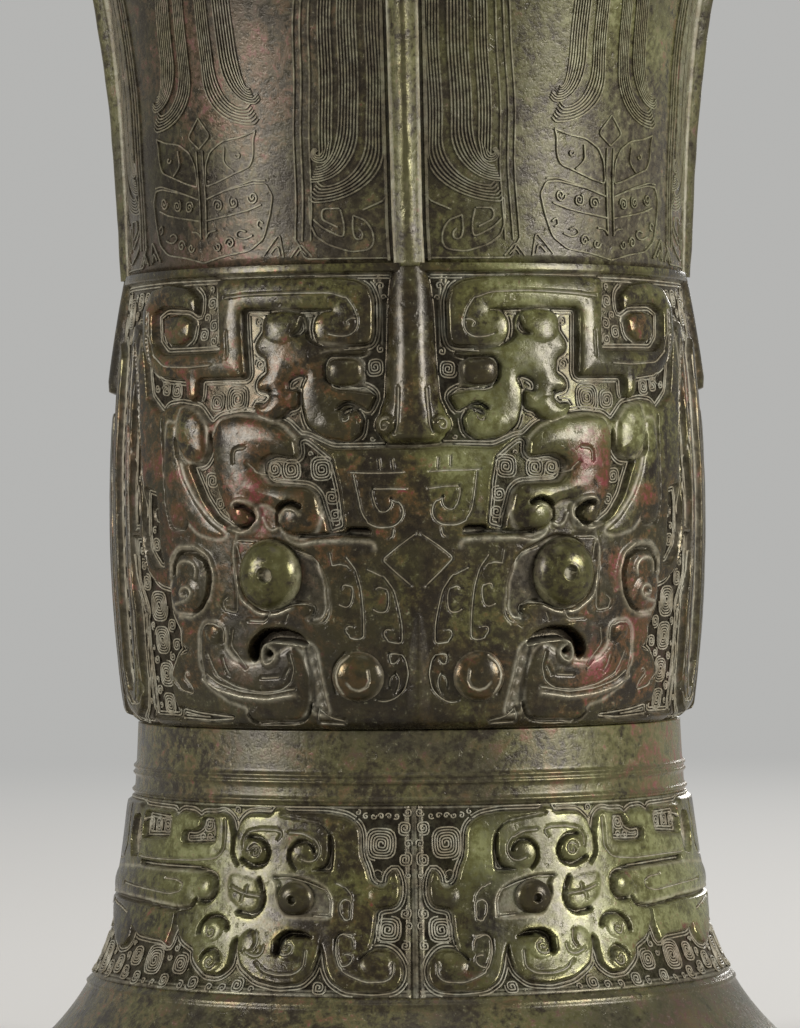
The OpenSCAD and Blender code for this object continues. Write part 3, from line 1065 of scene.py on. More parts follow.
UPPER_STROKES: list[Stroke] = [
    Plate("-5 203.7, 121 203.7, 121 207, -5 207", 1.9, 1.0, 0.3, 1.2),
    Plate("22 186, 11.25 186.25, 10.5 189, 10.5 196.75, 11.75 200.25, 14.5 202, 19 202.75, 54.25 203.25,"
          "52.5 193, 51.6 185.4, 72.75 185.75, 76.75 188.75, 78.5 195.5, 74.25 197.25, 64.25 196.75,"
          "60.25 194.75, 60.5 199.25, 64.5 201.75, 73 202.75, 81 201.75, 85 197.25, 83.5 189, 79.75 183.5,"
          "73.5 180, 63 179, 62.5 175, 60.5 173.25, 58.5 174.5, 58.5 179, 43.5 178.75, 45.25 195.5,"
          "20.25 194.75, 23.75 194.25, 25.5 192.25, 25.5 189.25, 24.25 187", 2.0, 0.8, 1.0, 2.0),
    Plate("11.5 184.75, 14 183.5, 22 184, 23.25 181.75, 22.5 178.25, 19.75 176, 12.75 176, 10 174.25,"
          "12 170.25, 13.75 171.75, 17.25 171.5, 19 170.5, 18.25 169.25, 14.75 171, 13.25 168.75,"
          "13.75 165.25, 16.75 163.25, 23 164.25, 27 167.5, 28.25 171.75, 28.75 176.75, 27.25 179.25,"
          "30 179.25, 32.5 177.75, 32.25 175, 29.25 175.75, 29.5 171.25, 32 171, 33 169.25, 36.25 167.75,"
          "40.25 169.5, 41.75 172.5, 38.5 172, 36.5 173.75, 37.5 175.25, 40.75 175.75, 40.25 178.25,"
          "37.75 179.5, 38.25 183.5, 40.75 184.5, 41.5 186.75, 39 190, 39.5 193, 37.5 194.5, 33.75 195,"
          "29 194.25, 27.5 192.25, 27.75 189.25, 26.75 187.5, 23.75 186.25", 1.3, 0.7, 0.8, 2.0),
    Plate("27.75 191.75, 29 194, 29.5 190.5, 31.75 188.75, 29.5 188.4, 27.75 189.75", 0.2, 0.7, 0.0),
    Plate("62 193.4, 62.6 189.4, 66 187.6, 70.4 187.8, 73.4 190.4, 74 194.6, 70 195.4, 65 195", 1.5, 1.2,
          1.0, 2.4),
    Plate("10.6 174.6, 13 177, 13 183, 21.8 183.4, 22.8 181, 21.6 177.4, 19 176", 0.5, 0.8, 0.0, earth=0.2),
    Boss(19.5, 167.3, 5.2, 3.4, 0.7), Boss(36, 171.4, 4.2, 3.2, 0.5), Boss(34, 190.6, 5, 3.6, 0.5),
    Slot("19.4 171.3, 17.6 172.6, 15 172, 13.4 169.4", 1.3),
    Slot("27.6 178.6, 28.9 176, 28.8 171.4, 27.4 167.4, 23.4 164", 1.0, 0.2),
    Slot("40.6 172.6, 38.6 173.6, 37 175.4", 1.1),
    Curl(17.4, 169.3, 1.7, 1.5, 1, 2.6), Curl(38.6, 172.6, 1.3, 1.3, -1, 2.4),
    Cut("50.5 198.75, 42.25 199.25, 30 199.25, 21 199, 17.25 197.75, 15.25 195, 14.25 192, 14.75 189.75,"
        "16.5 188.5, 19.25 188.5, 21.75 189.25"),
    Cut("14.5 192.75, 16.25 192.75, 17.5 191.5, 16.75 191"),
    Cut("54 182.4, 61 182.2, 71 182.8, 76.6 186, 79.6 191, 80.6 196.4"), Cut("49 190, 48.6 184"),
    Cord("9.25 203.25, 8.75 194.5, 8.5 186.25", 0.6, 0.4), Cord("10.25 202.5, 10 194.5, 9.5 189", 0.6, 0.3),
    Cut("11.5 186.25, 14 185.5, 22 185, 23.75 184.5", 0.7, 0.4),
    Cut("10 174.25, 12.75 176.25, 17 176, 19.75 176, 21.75 177.25, 22.75 179.25"),
    Roof(0.0,
         "162.4 6.4 0, 163 6.8 3.4, 164.2 7.8 4.9, 167.5 8.6 5.5, 170.4 8 5.4, 173.5 6.8 5.3, 185 6.2 4.8,"
         "195 6 4.0, 200 5.5 3.4, 206 4.2 2.7", 2.1),
    Boss(7.9, 167.2, 2.5, 2.7, 1.6),
    Cut("4.6 176, 4.7 171, 5 167, 5.6 165.2", 0.8, 0.6),
    Curl(7.9, 167.1, 1.8, 1.3, 1, 2.2),
    Roof(QUARTER, "176 4.2 0, 177.2 4.2 3.0, 180 4.2 3.4, 206 4.0 2.4", 1.7),
]

MASK_STROKES: list[Stroke] = [
    Plate("-5 94, 83.5 94, 84.5 112, 84 122, 88.5 131, 89 142, 84.6 142, 83.4 150, 84.5 162, 87 173,"
          "90 186, 86.5 192, 84 186, 80.5 175, 74 170.5, 72 172.5, 67 173, 60 172, 55.5 167.5, 53 169.5,"
          "46 170.2, 39.5 169.5, 33.5 167.7, 30 164.4, 28.2 164.4, 22 161.6, -5 161.6", 1.6, 0.9, 0.2),
    Plate("22 159.75, 20.5 153, 19.5 142.75, 23.75 141.5, 24 144, 25 147.25, 26 151, 28 152.75, 38 153.5,"
          "40 156, 39.75 159, 36.25 160.25, 31 159.5, 30.25 161, 31 163.75, 28.5 164.75, 26 163", 0.0, 0.8,
          0.0, earth=0.1),
    Plate("55 166.5, 55.5 161.25, 57.5 158.75, 62 158.25, 60 154.75, 57.5 150, 53.75 145.5, 49.25 143,"
          "47.25 143.25, 49.5 146, 51 151, 52.5 157.25, 54 163.25", 0.0, 0.8, 0.0, earth=0.1),
    Plate("75.75 151.75, 81.5 152.75, 82 147, 81.25 137.75, 76.25 133, 72.75 133, 74.5 137.75, 74.75 145",
          0.0, 0.8, 0.0, earth=0.1),
    Plate("70.5 128.5, 76.5 129.75, 81.5 133.5, 83.5 140.75, 88.75 140.75, 88.75 130.25, 83.75 122.5,"
          "85 121.5, 84.75 114.25, 83.5 96.5, 71.75 96.5, 70.5 98, 72.5 102.75, 72 107.75, 69.5 111.25,"
          "68 112.25, 64.75 112.75, 67.75 114, 67.5 118.25, 70.25 122.25, 70.75 126", 0.0, 0.8, 0.0,
          earth=0.1),
    Plate("51 97.5, 64 98.5, 70.25 99.5, 72 96, 59.5 95.5, 52 96", 0.1, 0.7, 0.0, earth=0.1),
    Plate("13.25 142.8, 19.3 142.9, 19.3 141.1, 13.3 140.6", -0.3, 0.6, 0.0),
    Plate("24.4 98, 26.3 106.25, 27.6 113.75, 30 115.25, 30.2 111.25, 28.9 106, 28.3 98.5", 0.9, 0.6, 0.0,
          earth=0.45),
    Plate("29 114.5, 31.5 117.25, 36 118.6, 41.25 118.1, 45 115.2, 45.6 112, 43.75 110.4, 42.5 114,"
          "40.25 115.6, 33.75 115.4", -1.9, 0.8, 0.0),
    Plate("32.5 138.5, 27 135.5, 24.75 129.75, 24.25 122.75, 25.75 120.4, 29.25 120.25, 27.75 122.75,"
          "29.5 124.75, 33.5 124.5, 37.5 123, 41.75 123.25, 46 126.25, 47.25 130.75, 46 135.75, 42.25 140,"
          "37 140.5", 0.45, 0.9, 0.0, earth=0.1, lines=0),
    Plate("29.75 99.5, 29 106, 30.75 111.75, 33.25 114.5, 40 110.4, 46.5 109.5, 50.4 110.8, 53 113.6,"
          "52.75 117.6, 54.8 119.6, 58.6 119.6, 60.4 117.25, 60.75 109.75, 58.25 104.5, 52 101,"
          "46.75 99.75, 46.5 96.4, 32.25 96.6", 2.1, 1.0, 0.5, 2.4),
    Plate("30.25 160, 31 163.75, 34.25 166.75, 40 168.6, 46.75 169.4, 51.75 168.6, 53.6 164.75,"
          "53.2 158.25, 52.2 152, 50.2 147.5, 47.9 144, 44.75 142.6, 42.25 143.3, 41.75 145.75, 43 148,"
          "40.5 149.5, 38 149, 35.75 147, 35.75 144, 33.75 141.75, 29.75 141, 26.5 142.5, 25.25 146,"
          "26 150.5, 28 152.75, 38 153.25, 40.5 155.75, 40 158.75, 37 160.5, 31 159.5", 2.6, 0.9, 1.2, 2.2),
    Plate("56.75 167.5, 60.5 171.25, 65.25 172.25, 66.75 168, 66.5 163.5, 63 159.75, 59 159, 56 160.75", 2.1,
          1.0, 1.3, 2.2),
    Plate("50.8 141.4, 55.6 144.6, 60.4 149.6, 64.2 155.4, 66.6 162, 66.8 168, 70.6 168.6, 71.6 158,"
          "70.4 147.6, 68.8 143.4, 64.8 142.8, 63.9 145.6, 60 142, 54 140.6", 2.2, 1.0, 0.4, 2.0),
    Plate("56.2 131.25, 57.75 135.4, 61.5 137.4, 66.5 137.4, 69 134.4, 69 131, 70.4 127, 68.6 122.6,"
          "63 122, 59.4 123, 57.3 126", 2.0, 0.8, 0.5, 2.4),
    Plate("86.8 192, 92 194, 93.8 180, 93.4 150, 93 120, 93.4 106, 96 102.6, 99.6 103, 101 108, 100.6 130,"
          "100.8 160, 101.4 186, 106 190, 106.6 160, 106 130, 106.2 106, 103 98.4, 96 95.6, 89.6 98.6,"
          "87.4 106, 87.6 122, 89.6 132, 89.6 150, 88.8 172", 1.7, 0.9, 0.4, 2.0),
    Plate("109.4 96, 121 96, 121 172, 110 172, 109 140", 1.5, 0.9, 0.3, 2.0),
    Boss(31.2, 144.9, 3.4, 3.2, 0.9), Boss(45.2, 146.2, 3.0, 3.2, 0.8), Boss(63.2, 126.6, 3.4, 3.6, 0.6),
    Boss(55.2, 117.4, 3.0, 2.6, 0.7), Boss(28.9, 113.2, 0.9, 0.9, 0.5), Boss(28.2, 110.4, 0.9, 1.0, 0.5),
    Boss(27.6, 107.6, 0.9, 1.0, 0.5), Boss(27, 104.8, 0.9, 1.0, 0.5), Boss(26.4, 102, 0.9, 1.0, 0.5),
    Boss(25.8, 99.6, 0.9, 0.9, 0.5),
    Slot("30 148.2, 32.4 149.4, 35.2 148.4, 36.2 146.4, 35.9 144", 1.2, 0.2),
    Slot("46.4 148.6, 44.2 148.4, 42.6 146.6, 42.6 144.8, 43.8 143.6, 46 143.4", 1.0, 0.7),
    Slot("66.6 164.4, 66.2 160.6, 63.4 158.6", 1.0, 1.2),
    Cord("50 143.5, 46.5 142, 43 142.75, 41 145.25, 41.25 147.75, 43 149.5, 46 150, 47.5 148.75", 1.1, 0.8,
         0.75),
    Cord("35.25 146.5, 35.75 143.5, 37.5 142.5, 39.25 143.5, 40 145.75", 0.8, 0.4, 0.7),
    Cord("29.75 146.25, 30.75 147.5, 32.75 148, 34.5 146.75, 35 144.75", 0.8, 0.5, 0.5),
    Cord("67 121.2, 62.4 120.8, 58.6 122.4, 56 126, 55 131.25, 56.6 136, 60.8 138.4, 66.6 138.4,"
         "69.8 135.4, 69.8 131", 1.2, 0.7),
    Slot("62 122, 59.6 123, 57.4 126.2, 56.4 131.25, 58 135.2, 61.5 137, 66.3 137, 68.4 134.4, 68.4 131.75",
         1.0, 0.6),
    Slot("63.5 144.5, 64.5 142.4, 69.25 142.8, 70.9 148, 71.9 158.25, 73 169.25", 0.9, 0.8),
    Slot("29 100.5, 29.75 97.4, 32.75 96.1, 45.25 95.7, 46.7 97.75", 0.9, 0.4),
    Cut("5.5 156, 13.25 156, 18 156.25"), Cut("7.75 159, 7.5 156.5"), Cut("10.75 159.25, 10.5 156.75"),
    Cut("17 155.5, 16.25 150.75, 15.5 146.5, 14.25 144.25, 11.5 143, 7.75 143.25, 5.75 145.25, 6 148.25,"
        "8.25 149.75"),
    Cut("8.25 149.75, 8.25 148, 9.75 146.5, 11.75 147.25, 12.75 150.75, 12.5 152.25"),
    Cut("5 152, 8.5 152.25, 12.25 152.25"), Cut("8 142.5, 8.25 140.75, 9.25 140.25"),
    Slot("13.5 141.1, 19.75 141.5, 26.5 141.1, 31 141.3", 1.2, 0.2),
    Cord("12.5 137.8, 12.75 139.3, 19 139.6, 26.5 139.7, 31 139, 33.5 140.1, 34.5 141.75", 1.1, 0.55, 0.75),
    Cut("14.5 133, 10.75 131.25, 8.25 127.75, 7.25 123.5, 6.5 119.25, 6.5 115, 10 115.5, 11 117.25,"
        "10.25 118.5, 8.75 118.25"),
    Cut("13 123.25, 12 122.5, 10 122.5, 9.5 125.25, 9.75 127.75, 10.75 128.5, 12 128.75, 12.75 128"),
    Cut("19.75 135.75, 17.5 132.75, 16.25 128.5, 15.75 124.25, 15.5 120, 15.5 116, 18.25 116, 20 117.75,"
        "19.5 119.25, 17.75 119"),
    Cut("21.25 124.5, 19.25 123.5, 18.25 125.25, 18 128.5, 19.25 129.25, 20.5 129.25, 20.75 128.25"),
    Cut("18.75 132.75, 20.25 134.25, 22 134.25, 23.25 133.75, 23.75 137"),
    Cord("47.6 141.6, 49 137.4, 49 131, 47.4 125.4, 42.4 122, 37.4 121.8, 33 123.6", 1.0, 0.5),
    Cut("32.75 138, 28.5 136.5, 25.75 133.25, 24.25 129.5, 23.75 125.25, 23.75 121.75, 25.25 119.75,"
        "28 120, 30 121, 27.75 122.25, 27.5 123.75, 29.75 125, 32.5 125", 0.9, 0.55),
    Cut("29.5 124.75, 32.75 124.75, 37.5 123, 41.75 123.25, 46 126, 47.5 130.75"),
    Cut("34.25 122.25, 35 120.5"), Cut("39.25 122.25, 40.75 120.25, 45.5 120.5"),
    Cut("41.75 140.25, 48.5 140.5, 47.5 134.75"),
    Cut("49.5 134.25, 48.75 127.75, 48.75 122.25, 52.75 123, 53.25 125, 51.25 126.25"),
    Cut("9.5 112.5, 7.25 112.75, 5.75 111.25, 5 107.75, 5.75 104.25, 7.5 102.25, 10.25 101, 12.5 101.5"),
    Cut("8 107.75, 7.25 106.75, 7.25 104.75, 8.25 102.75"), Cut("8 107.75, 9.5 106.75, 9.5 104.25"),
    Cut("9.5 112.5, 9.5 110.5, 8.25 110, 7.5 111.25"), Cut("20 112.5, 22.5 109.75, 23 106, 22.25 103"),
    Cut("34.25 112.5, 33.25 109, 34.25 105.5, 37 103.75, 43 103.25, 49.5 104.5, 55.5 107.25, 58 112.25", 0.9),
    Cut("34.5 109, 35.75 107"), Cut("37.25 107, 42.25 106.75"),
    Cut("50.25 118, 51 114, 48.75 111.5, 46.5 109"), Cut("53.25 111.25, 52.5 108.75, 51.25 107.25"),
    Cut("33 104.2, 40.75 102.9, 48.5 103.5, 55 105.2, 58.6 107.4", 0.9, 0.6, 0.3),
    Cord("33 102.4, 40.75 101.3, 48.5 101.9, 55.6 103.4, 60 105.8", 1.3, 0.7),
    Cut("53.25 115, 52.75 118, 55 119.5, 58.75 119.5, 60.25 117.25, 60.25 112.25, 59.5 106", 1.0, 0.6),
    Cord("60.75 130.75, 60.4 132.75, 61.5 134.4, 64.5 135, 66.8 134, 67 131.5", 0.9, 0.6, 0.8),
    Cord("68 124.25, 63.25 125, 61.5 126.75, 62.75 128.5, 65.5 128, 65.75 126.25, 63.75 126", 0.8, 0.6, 0.8),
    Cut("65.25 107, 66.25 108.25, 67.5 106.5, 65.5 105, 64.75 104, 63.75 102.5, 68.5 103.5, 71.75 106.25"),
    Cut("75.75 147, 76.75 148, 79.5 147.5, 78.5 144.5, 75.75 144.5"),
    Boss(39.75, 112.75, 1.0, 1.0, -1.6),
    Cord("29.25 114.25, 33.75 115.25, 39 115.5, 41.25 114, 41.75 110.75, 40 109.75, 38 111, 37.75 113,"
         "39.75 114", 1.2, 0.9, 0.75),
    Cut("20.25 96.5, 23.75 97.25, 27 99.25"), Cut("20.75 95.75, 27.25 96"), Cut("27.25 99.5, 27.5 96.25"),
    Cut("73.4 176, 77.6 180, 81 190"),
    Cut("90.6 188, 90.8 160, 90.4 130, 90.2 108, 93 100.4, 97.6 99, 102 101.4, 103.4 108, 103.6 150,"
        "104 184"),
    Cut("85.75 173, 82.75 155.75, 81.5 140.75"), Cut("91 168, 88.75 157"),
    Cut("82.25 154.25, 82 140, 79.75 130.5"), Cut("88 153, 87.25 146"),
    Cut("90 123, 89.25 113.25, 88.5 103.25, 91.5 99.5, 96 99.25, 99.5 102.25"),
    Cut("93.75 123, 95.5 113, 96.5 103.5"),
    Cut("86.5 121.5, 84.75 109.25, 83.5 99, 88.5 95.5, 105.5 95, 116.25 98.75"),
    Cut("89.75 189.25, 85.75 176.75, 83.75 162.25"), Cut("97.75 187.75, 91.5 172.75"),
    Cut("67 118.25, 67.5 114.75, 64.75 112.75, 68.75 112, 70.5 110"), Cut("112.6 168, 112.6 130, 112.8 100"),
    Cut("43.4 162, 46.6 161.8, 46.6 158.6"), Cut("37 155.4, 40.6 156.2, 43 158.4"),
    Roof(0.0, "94 5 1.6, 97 5 2.3, 99.5 5 3.3, 106 5 3.6, 111 4.9 3.2, 118 4.9 2.4, 126 5 1.6", 1.25),
    Roof(0.0, "104 7 0, 112 8 0.6, 120 10 1.3, 130 12 1.6, 140 15 1.7, 152 16 1.7, 161.5 16 1.5, 163 16 0",
         1.0, True),
    Cut("3.25 141.25, 7 138.5, 11 135.25, 8 132.25, 4.25 128.75", 1.0, 0.6),
]

FOOT_STROKES: list[Stroke] = [
    Plate("15 71.5, 17.75 73.4, 23.25 74.3, 34.25 74.3, 35 75.4, 37.3 75.2, 38 73.7, 41.25 74, 45.5 73.6,"
          "48 71.6, 49 68, 49.8 68.75, 50.75 72.5, 53.25 73.9, 55.75 73.25, 60.6 73.2, 61.6 72,"
          "64.25 73.5, 69.25 73.7, 72 71.8, 72.6 73.6, 90 73.8, 92 75, 121 75, 121 47.6, 110 48.6,"
          "99 43.6, 96.75 41.75, 90.25 39.25, 86.25 40, 84.25 42.5, 85.25 45, 82 43.25, 70.25 42.75,"
          "66.5 41, 66.2 44, 65 46.6, 62.6 43, 57.4 41, 57.2 39, 55.5 37.5, 52.25 35.5, 48.25 35.25,"
          "45.9 37.25, 45.6 40.75, 46 43, 44.8 44.5, 44.8 41.75, 43 37.75, 38 34.75, 32 33.6, 26.75 34.2,"
          "24.2 36.75, 23.3 40, 22.8 43.5, 22.3 42, 21.75 40.75, 21 37.5, 19.5 34.75, 16.25 32.8,"
          "10.25 32.3, 5.75 32.8, 3.9 34.6, 3.4 37.5, 4.4 40, 6.5 42.25, 9.75 42.5, 11.25 41.5, 10.4 45.5,"
          "10 51, 8.5 51.8, 5.5 52.1, 4.3 54.5, 4.3 57.75, 5.4 61, 7.25 59.5, 7.25 57.25, 9 56.25,"
          "11.75 57.75, 12.5 61, 14 64, 14.25 69.25", 1.5, 0.9, 0.35, 2.4),
    Plate("56 72.6, 60.5 72.6, 61 70, 63.5 69, 67 69.2, 67.5 66.8, 66 65.8, 55.2 66.3", 0.0, 0.7, 0.0,
          earth=0.1),
    Plate("73 72.8, 87 73.2, 88 66.7, 73 67.4", 0.0, 0.7, 0.0, earth=0.1),
    Plate("90 62, 88.8 68, 91 72, 96 71.4, 97.5 66, 95 61.8", 0.0, 0.8, 0.0, earth=0.1),
    Plate("21.3 68.8, 22.3 69.6, 22 64.5, 22.8 61.6, 26.5 60.4, 21 60.2, 20.8 65", 0.0, 0.6, 0.0, earth=0.1),
    Plate("21 49.75, 21 53.5, 22.25 56, 24.75 57.5, 29.5 58.9, 37 59, 34.9 57.5, 35.2 54.5, 32.5 50,"
          "25.75 49.8", 0.8, 0.7, 0.0, earth=0.3),
    Plate("24.5 44.5, 27.5 46, 32 46.2, 34.6 44.25, 34.4 40.75, 32.7 40.3, 32.5 43, 31 44.9, 27.25 44.7",
          -0.7, 0.6, 0.0, earth=0.1),
    Plate("53.75 56.75, 55.5 58.75, 61 58.75, 70.25 59, 86.75 59.25, 121 57, 121 52.6, 83.75 52.75,"
          "69.75 51.75, 63.25 50.9, 60 51.5, 59.25 53.5, 56.75 52.75, 54.25 54.25", 1.9, 0.9, 0.5, 2.0),
    Plate("40.5 57.5, 43 58.75, 49.25 59.3, 49.75 56.75, 48.75 53.25, 45.25 50.9, 41.5 50.5, 39.8 51.75,"
          "39.8 54.5", 1.9, 0.9, 0.5, 1.8),
    Boss(9.4, 39.3, 3.4, 2.9, 0.9), Boss(7.4, 55, 4.2, 3.4, 0.8), Boss(28.8, 64.6, 3.4, 3.4, 0.8),
    Boss(42.6, 65, 3.6, 3.2, 0.8), Boss(52.3, 45.6, 3.2, 2.8, 0.6), Boss(51.2, 38.6, 3.4, 3.0, 0.6),
    Boss(57, 55.6, 3.0, 3.0, 0.6), Boss(30.6, 42.2, 3.4, 3.0, 0.6), Boss(41.2, 43.2, 2.8, 3.0, 0.5),
    Slot("25.75 65.25, 26.6 67, 29 67.9, 31.4 66.9, 32.3 64.8, 31.9 62.6, 30.4 61", 1.0, 0.5),
    Slot("44.6 68.4, 41.4 68.4, 38.9 66.6, 38.1 64.3, 39.2 61.9, 42.7 61.1, 46.2 62.6", 1.2, 0.2),
    Slot("40.5 58, 39 55.4, 38.7 52.6, 39.8 50.4, 42 49.6, 45.6 50.2", 1.3, 0.2),
    Slot("86 60.7, 73 60.3, 65.5 60.3, 57.5 59.6, 53.6 58.2, 53 54.5, 54.8 52.1, 57.8 52.1", 1.5, 0.15),
    Slot("59.2 52.4, 60.4 50.5, 64.8 49.8, 72 50.3, 81.5 51.2, 97 51.2, 118 51", 1.1, 0.4),
    Slot("48 46.2, 48.8 48, 51.6 49.1, 54.5 48.5, 56.2 46.6, 56.4 44.6", 1.2, 0.3),
    Slot("48.8 38.6, 49.3 40.6, 51.3 41.4, 53.6 40.2, 53.9 38.6", 1.0, 0.4),
    Slot("49.2 72.6, 49.5 68, 49.3 63.4, 47.6 61.4", 1.0, 0.3), Slot("65.6 50.2, 65.4 46, 66 42", 0.9, 0.5),
    Slot("5 42, 8 42.9, 11.2 42, 13 40", 0.9, 0.6), Slot("35.2 73.8, 30 73, 24.4 72, 22 69.6", 0.7, 0.9),
    Cut("5.75 39, 5.75 36.25, 7.25 35, 11.5 34.75, 15.25 36.25, 17.75 37.75, 19.25 41.75, 19 45, 17.5 46,"
        "15 44.75, 14.75 42.5"),
    Cut("32.75 70, 28.75 69.75, 25.75 68.25, 24.25 65.75, 25 63.5, 26.75 62.75, 29 63.75"),
    Cut("35.75 68.25, 35 69, 35.25 70, 36.4 70.5, 41.25 70.5, 45 69.75, 46.5 67.5, 46 65.25"),
    Curl(42, 64.9, 1.7, 1.4, -1, 0.4),
    Cut("16 51, 15.75 52.5, 16.75 54, 18 53.75, 18.75 52.5, 18.25 49.75, 16.5 48.75, 15.75 49.5, 16 51"),
    Cut("15 45.5, 18 46, 19.25 44.25, 18.75 41.25, 17.25 38, 15.25 38.75, 14.75 40.25, 15.75 41.25,"
        "16.75 41"),
    Cut("15.75 53.5, 16 55, 18.25 57.25, 19.75 57.75"), Cut("39.75 54.25, 44.5 54.75, 48.25 56", 1.0, 0.6),
    Cut("44 54.6, 43.6 56.4"), Cut("44.6 54.4, 44.8 52.8"),
    Cut("21 49.75, 21 53.5, 22.25 56, 26.75 57.75, 32 59, 36.5 58.75"), Cut("21 49.75, 25.75 50"),
    Cut("26.5 41.5, 26.5 37.75, 28.5 36.25, 32.5 36, 36 36.75, 38.5 38.75"),
    Cut("37.25 42.5, 37.5 40.75, 39.25 40, 42 41.25"), Cut("39.75 45.75, 39 43.25, 40 41.75"),
    Curl(31, 42.4, 2.1, 1.8, 1, 0.6), Curl(9.8, 59.8, 1.7, 1.6, -1, 4.2),
    Cut("71.5 57.5, 67 57.25, 64.25 56.25, 65 54.5, 69 53.75, 75 54.25, 83.5 54.75, 96 55"),
    Curl(52.4, 45.4, 1.6, 1.3, 1, 0.6), Curl(51, 38.4, 1.7, 1.4, -1, 2.4),
    Cut("90 48, 96 49, 108 50"), Cut("100 74, 100.4 64, 104 60.6, 116 60"),
    Cut("52.4 72, 52.2 65, 54.4 62.6, 62 62, 88 62.2"),
    Cord("2.5 76, 2.4 31", 0.7, 0.45), Cord("1.1 76, 1.0 31", 0.7, 0.35),
    Cord("2.4 75.6, 121 75.8", 0.6, 0.35), Cord("2.4 31.6, 121 31.6", 0.7, 0.4),
    Cord("2.4 32.5, 40 32.4, 121 32.6", 0.5, 0.3),
]


class Nodes:
    """Short hand for wiring a shader tree."""

    def __init__(self, tree: bpy.types.NodeTree) -> None:
        """Works on a tree."""
        self.tree = tree

    def add(self, kind: str, **settings: object) -> bpy.types.Node:
        """New node of a kind, with its properties set.

        Args:
            kind: Blender's name of the node.
            settings: its properties.

        Returns:
            The node.
        """
        node = self.tree.nodes.new(kind)
        for k, v in settings.items():
            setattr(node, k, v)
        return node

    def feed(self, socket: Socket, value: Value) -> None:
        """Links a socket into another, or sets it to a plain value.

        Args:
            socket: socket that takes the value.
            value: another socket, or a plain value.
        """
        if isinstance(value, Socket):
            self.tree.links.new(value, socket)
        else:
            socket.default_value = value

    def maths(self, operation: str, a: Value, b: Value, clamp: bool = False) -> Socket:
        """Result of a sum, product or the like of two values.

        Args:
            operation: Blender's name of the operation.
            a: first value.
            b: second value.
            clamp: whether the result is kept between 0 and 1.

        Returns:
            The result.
        """
        node = self.add("ShaderNodeMath", operation=operation, use_clamp=clamp)
        self.feed(node.inputs[0], a)
        self.feed(node.inputs[1], b)
        return node.outputs[0]

    def plus(self, base: Value, value: Value, weight: float) -> Socket:
        """Base plus a weighted value."""
        return self.maths("ADD", base, self.maths("MULTIPLY", value, weight))

    def mix(self, share: Value, a: Value, b: Value) -> Socket:
        """Blend of two colours.

        Args:
            share: share of the second colour.
            a: first colour.
            b: second colour.

        Returns:
            The blended colour.
        """
        node = self.add("ShaderNodeMix", data_type="RGBA")
        self.feed(node.inputs[0], share)
        self.feed(node.inputs[6], a)
        self.feed(node.inputs[7], b)
        return node.outputs[2]

    def noise(self, where: Socket, scale: float, detail: float, rough: float, warp: float = 0.0) -> Socket:
        """Noise value at a place.

        Args:
            where: coordinates.
            scale: cells in a metre.
            detail: octaves.
            rough: weight of the finer octaves.
            warp: distortion.

        Returns:
            The noise.
        """
        node = self.add("ShaderNodeTexNoise")
        self.feed(node.inputs["Vector"], where)
        for k, v in (("Scale", scale), ("Detail", detail), ("Roughness", rough), ("Distortion", warp)):
            node.inputs[k].default_value = v
        return node.outputs[0]

    def span(
        self, value: Value, low: float, high: float, to_low: float = 0.0, to_high: float = 1.0
    ) -> Socket:
        """Value carried from one range to another by a soft step, and kept in it.

        Args:
            value: the value.
            low: start of its range.
            high: end of its range.
            to_low: result at the start.
            to_high: result at the end.

        Returns:
            The result.
        """
        node = self.add("ShaderNodeMapRange", interpolation_type="SMOOTHSTEP")
        self.feed(node.inputs[0], value)
        for i, v in enumerate((low, high, to_low, to_high)):
            node.inputs[1 + i].default_value = v
        return node.outputs[0]


@dataclass(frozen=True)
class Tones:
    """Colours of the patina, from the metal to the earth that lies on it, and a near-black colour for painted
    shade.
    """

    shade: Colour = (0.0064, 0.0040, 0.0021, 1.0)
    brown: Colour = (0.024, 0.0168, 0.0062, 1.0)
    cloud: Colour = (0.0215, 0.0186, 0.0070, 1.0)
    olive: Colour = (0.062, 0.061, 0.018, 1.0)
    green: Colour = (0.155, 0.162, 0.070, 1.0)
    rust: Colour = (0.066, 0.029, 0.009, 1.0)
    crimson: Colour = (0.112, 0.015, 0.021, 1.0)
    smoke: Colour = (0.007, 0.006, 0.005, 1.0)
    fleck: Colour = (0.20, 0.19, 0.12, 1.0)
    rubbed: Colour = (0.092, 0.080, 0.043, 1.0)
    # Near-black colour of painted shade in hollows, on the low ground and at thread feet, also laid on the
    # neck's darker side and patches.
    hollow: Colour = (0.008, 0.006, 0.0045, 1.0)
    soil: Colour = (0.26, 0.225, 0.155, 1.0)
    pale_soil: Colour = (0.37, 0.36, 0.285, 1.0)


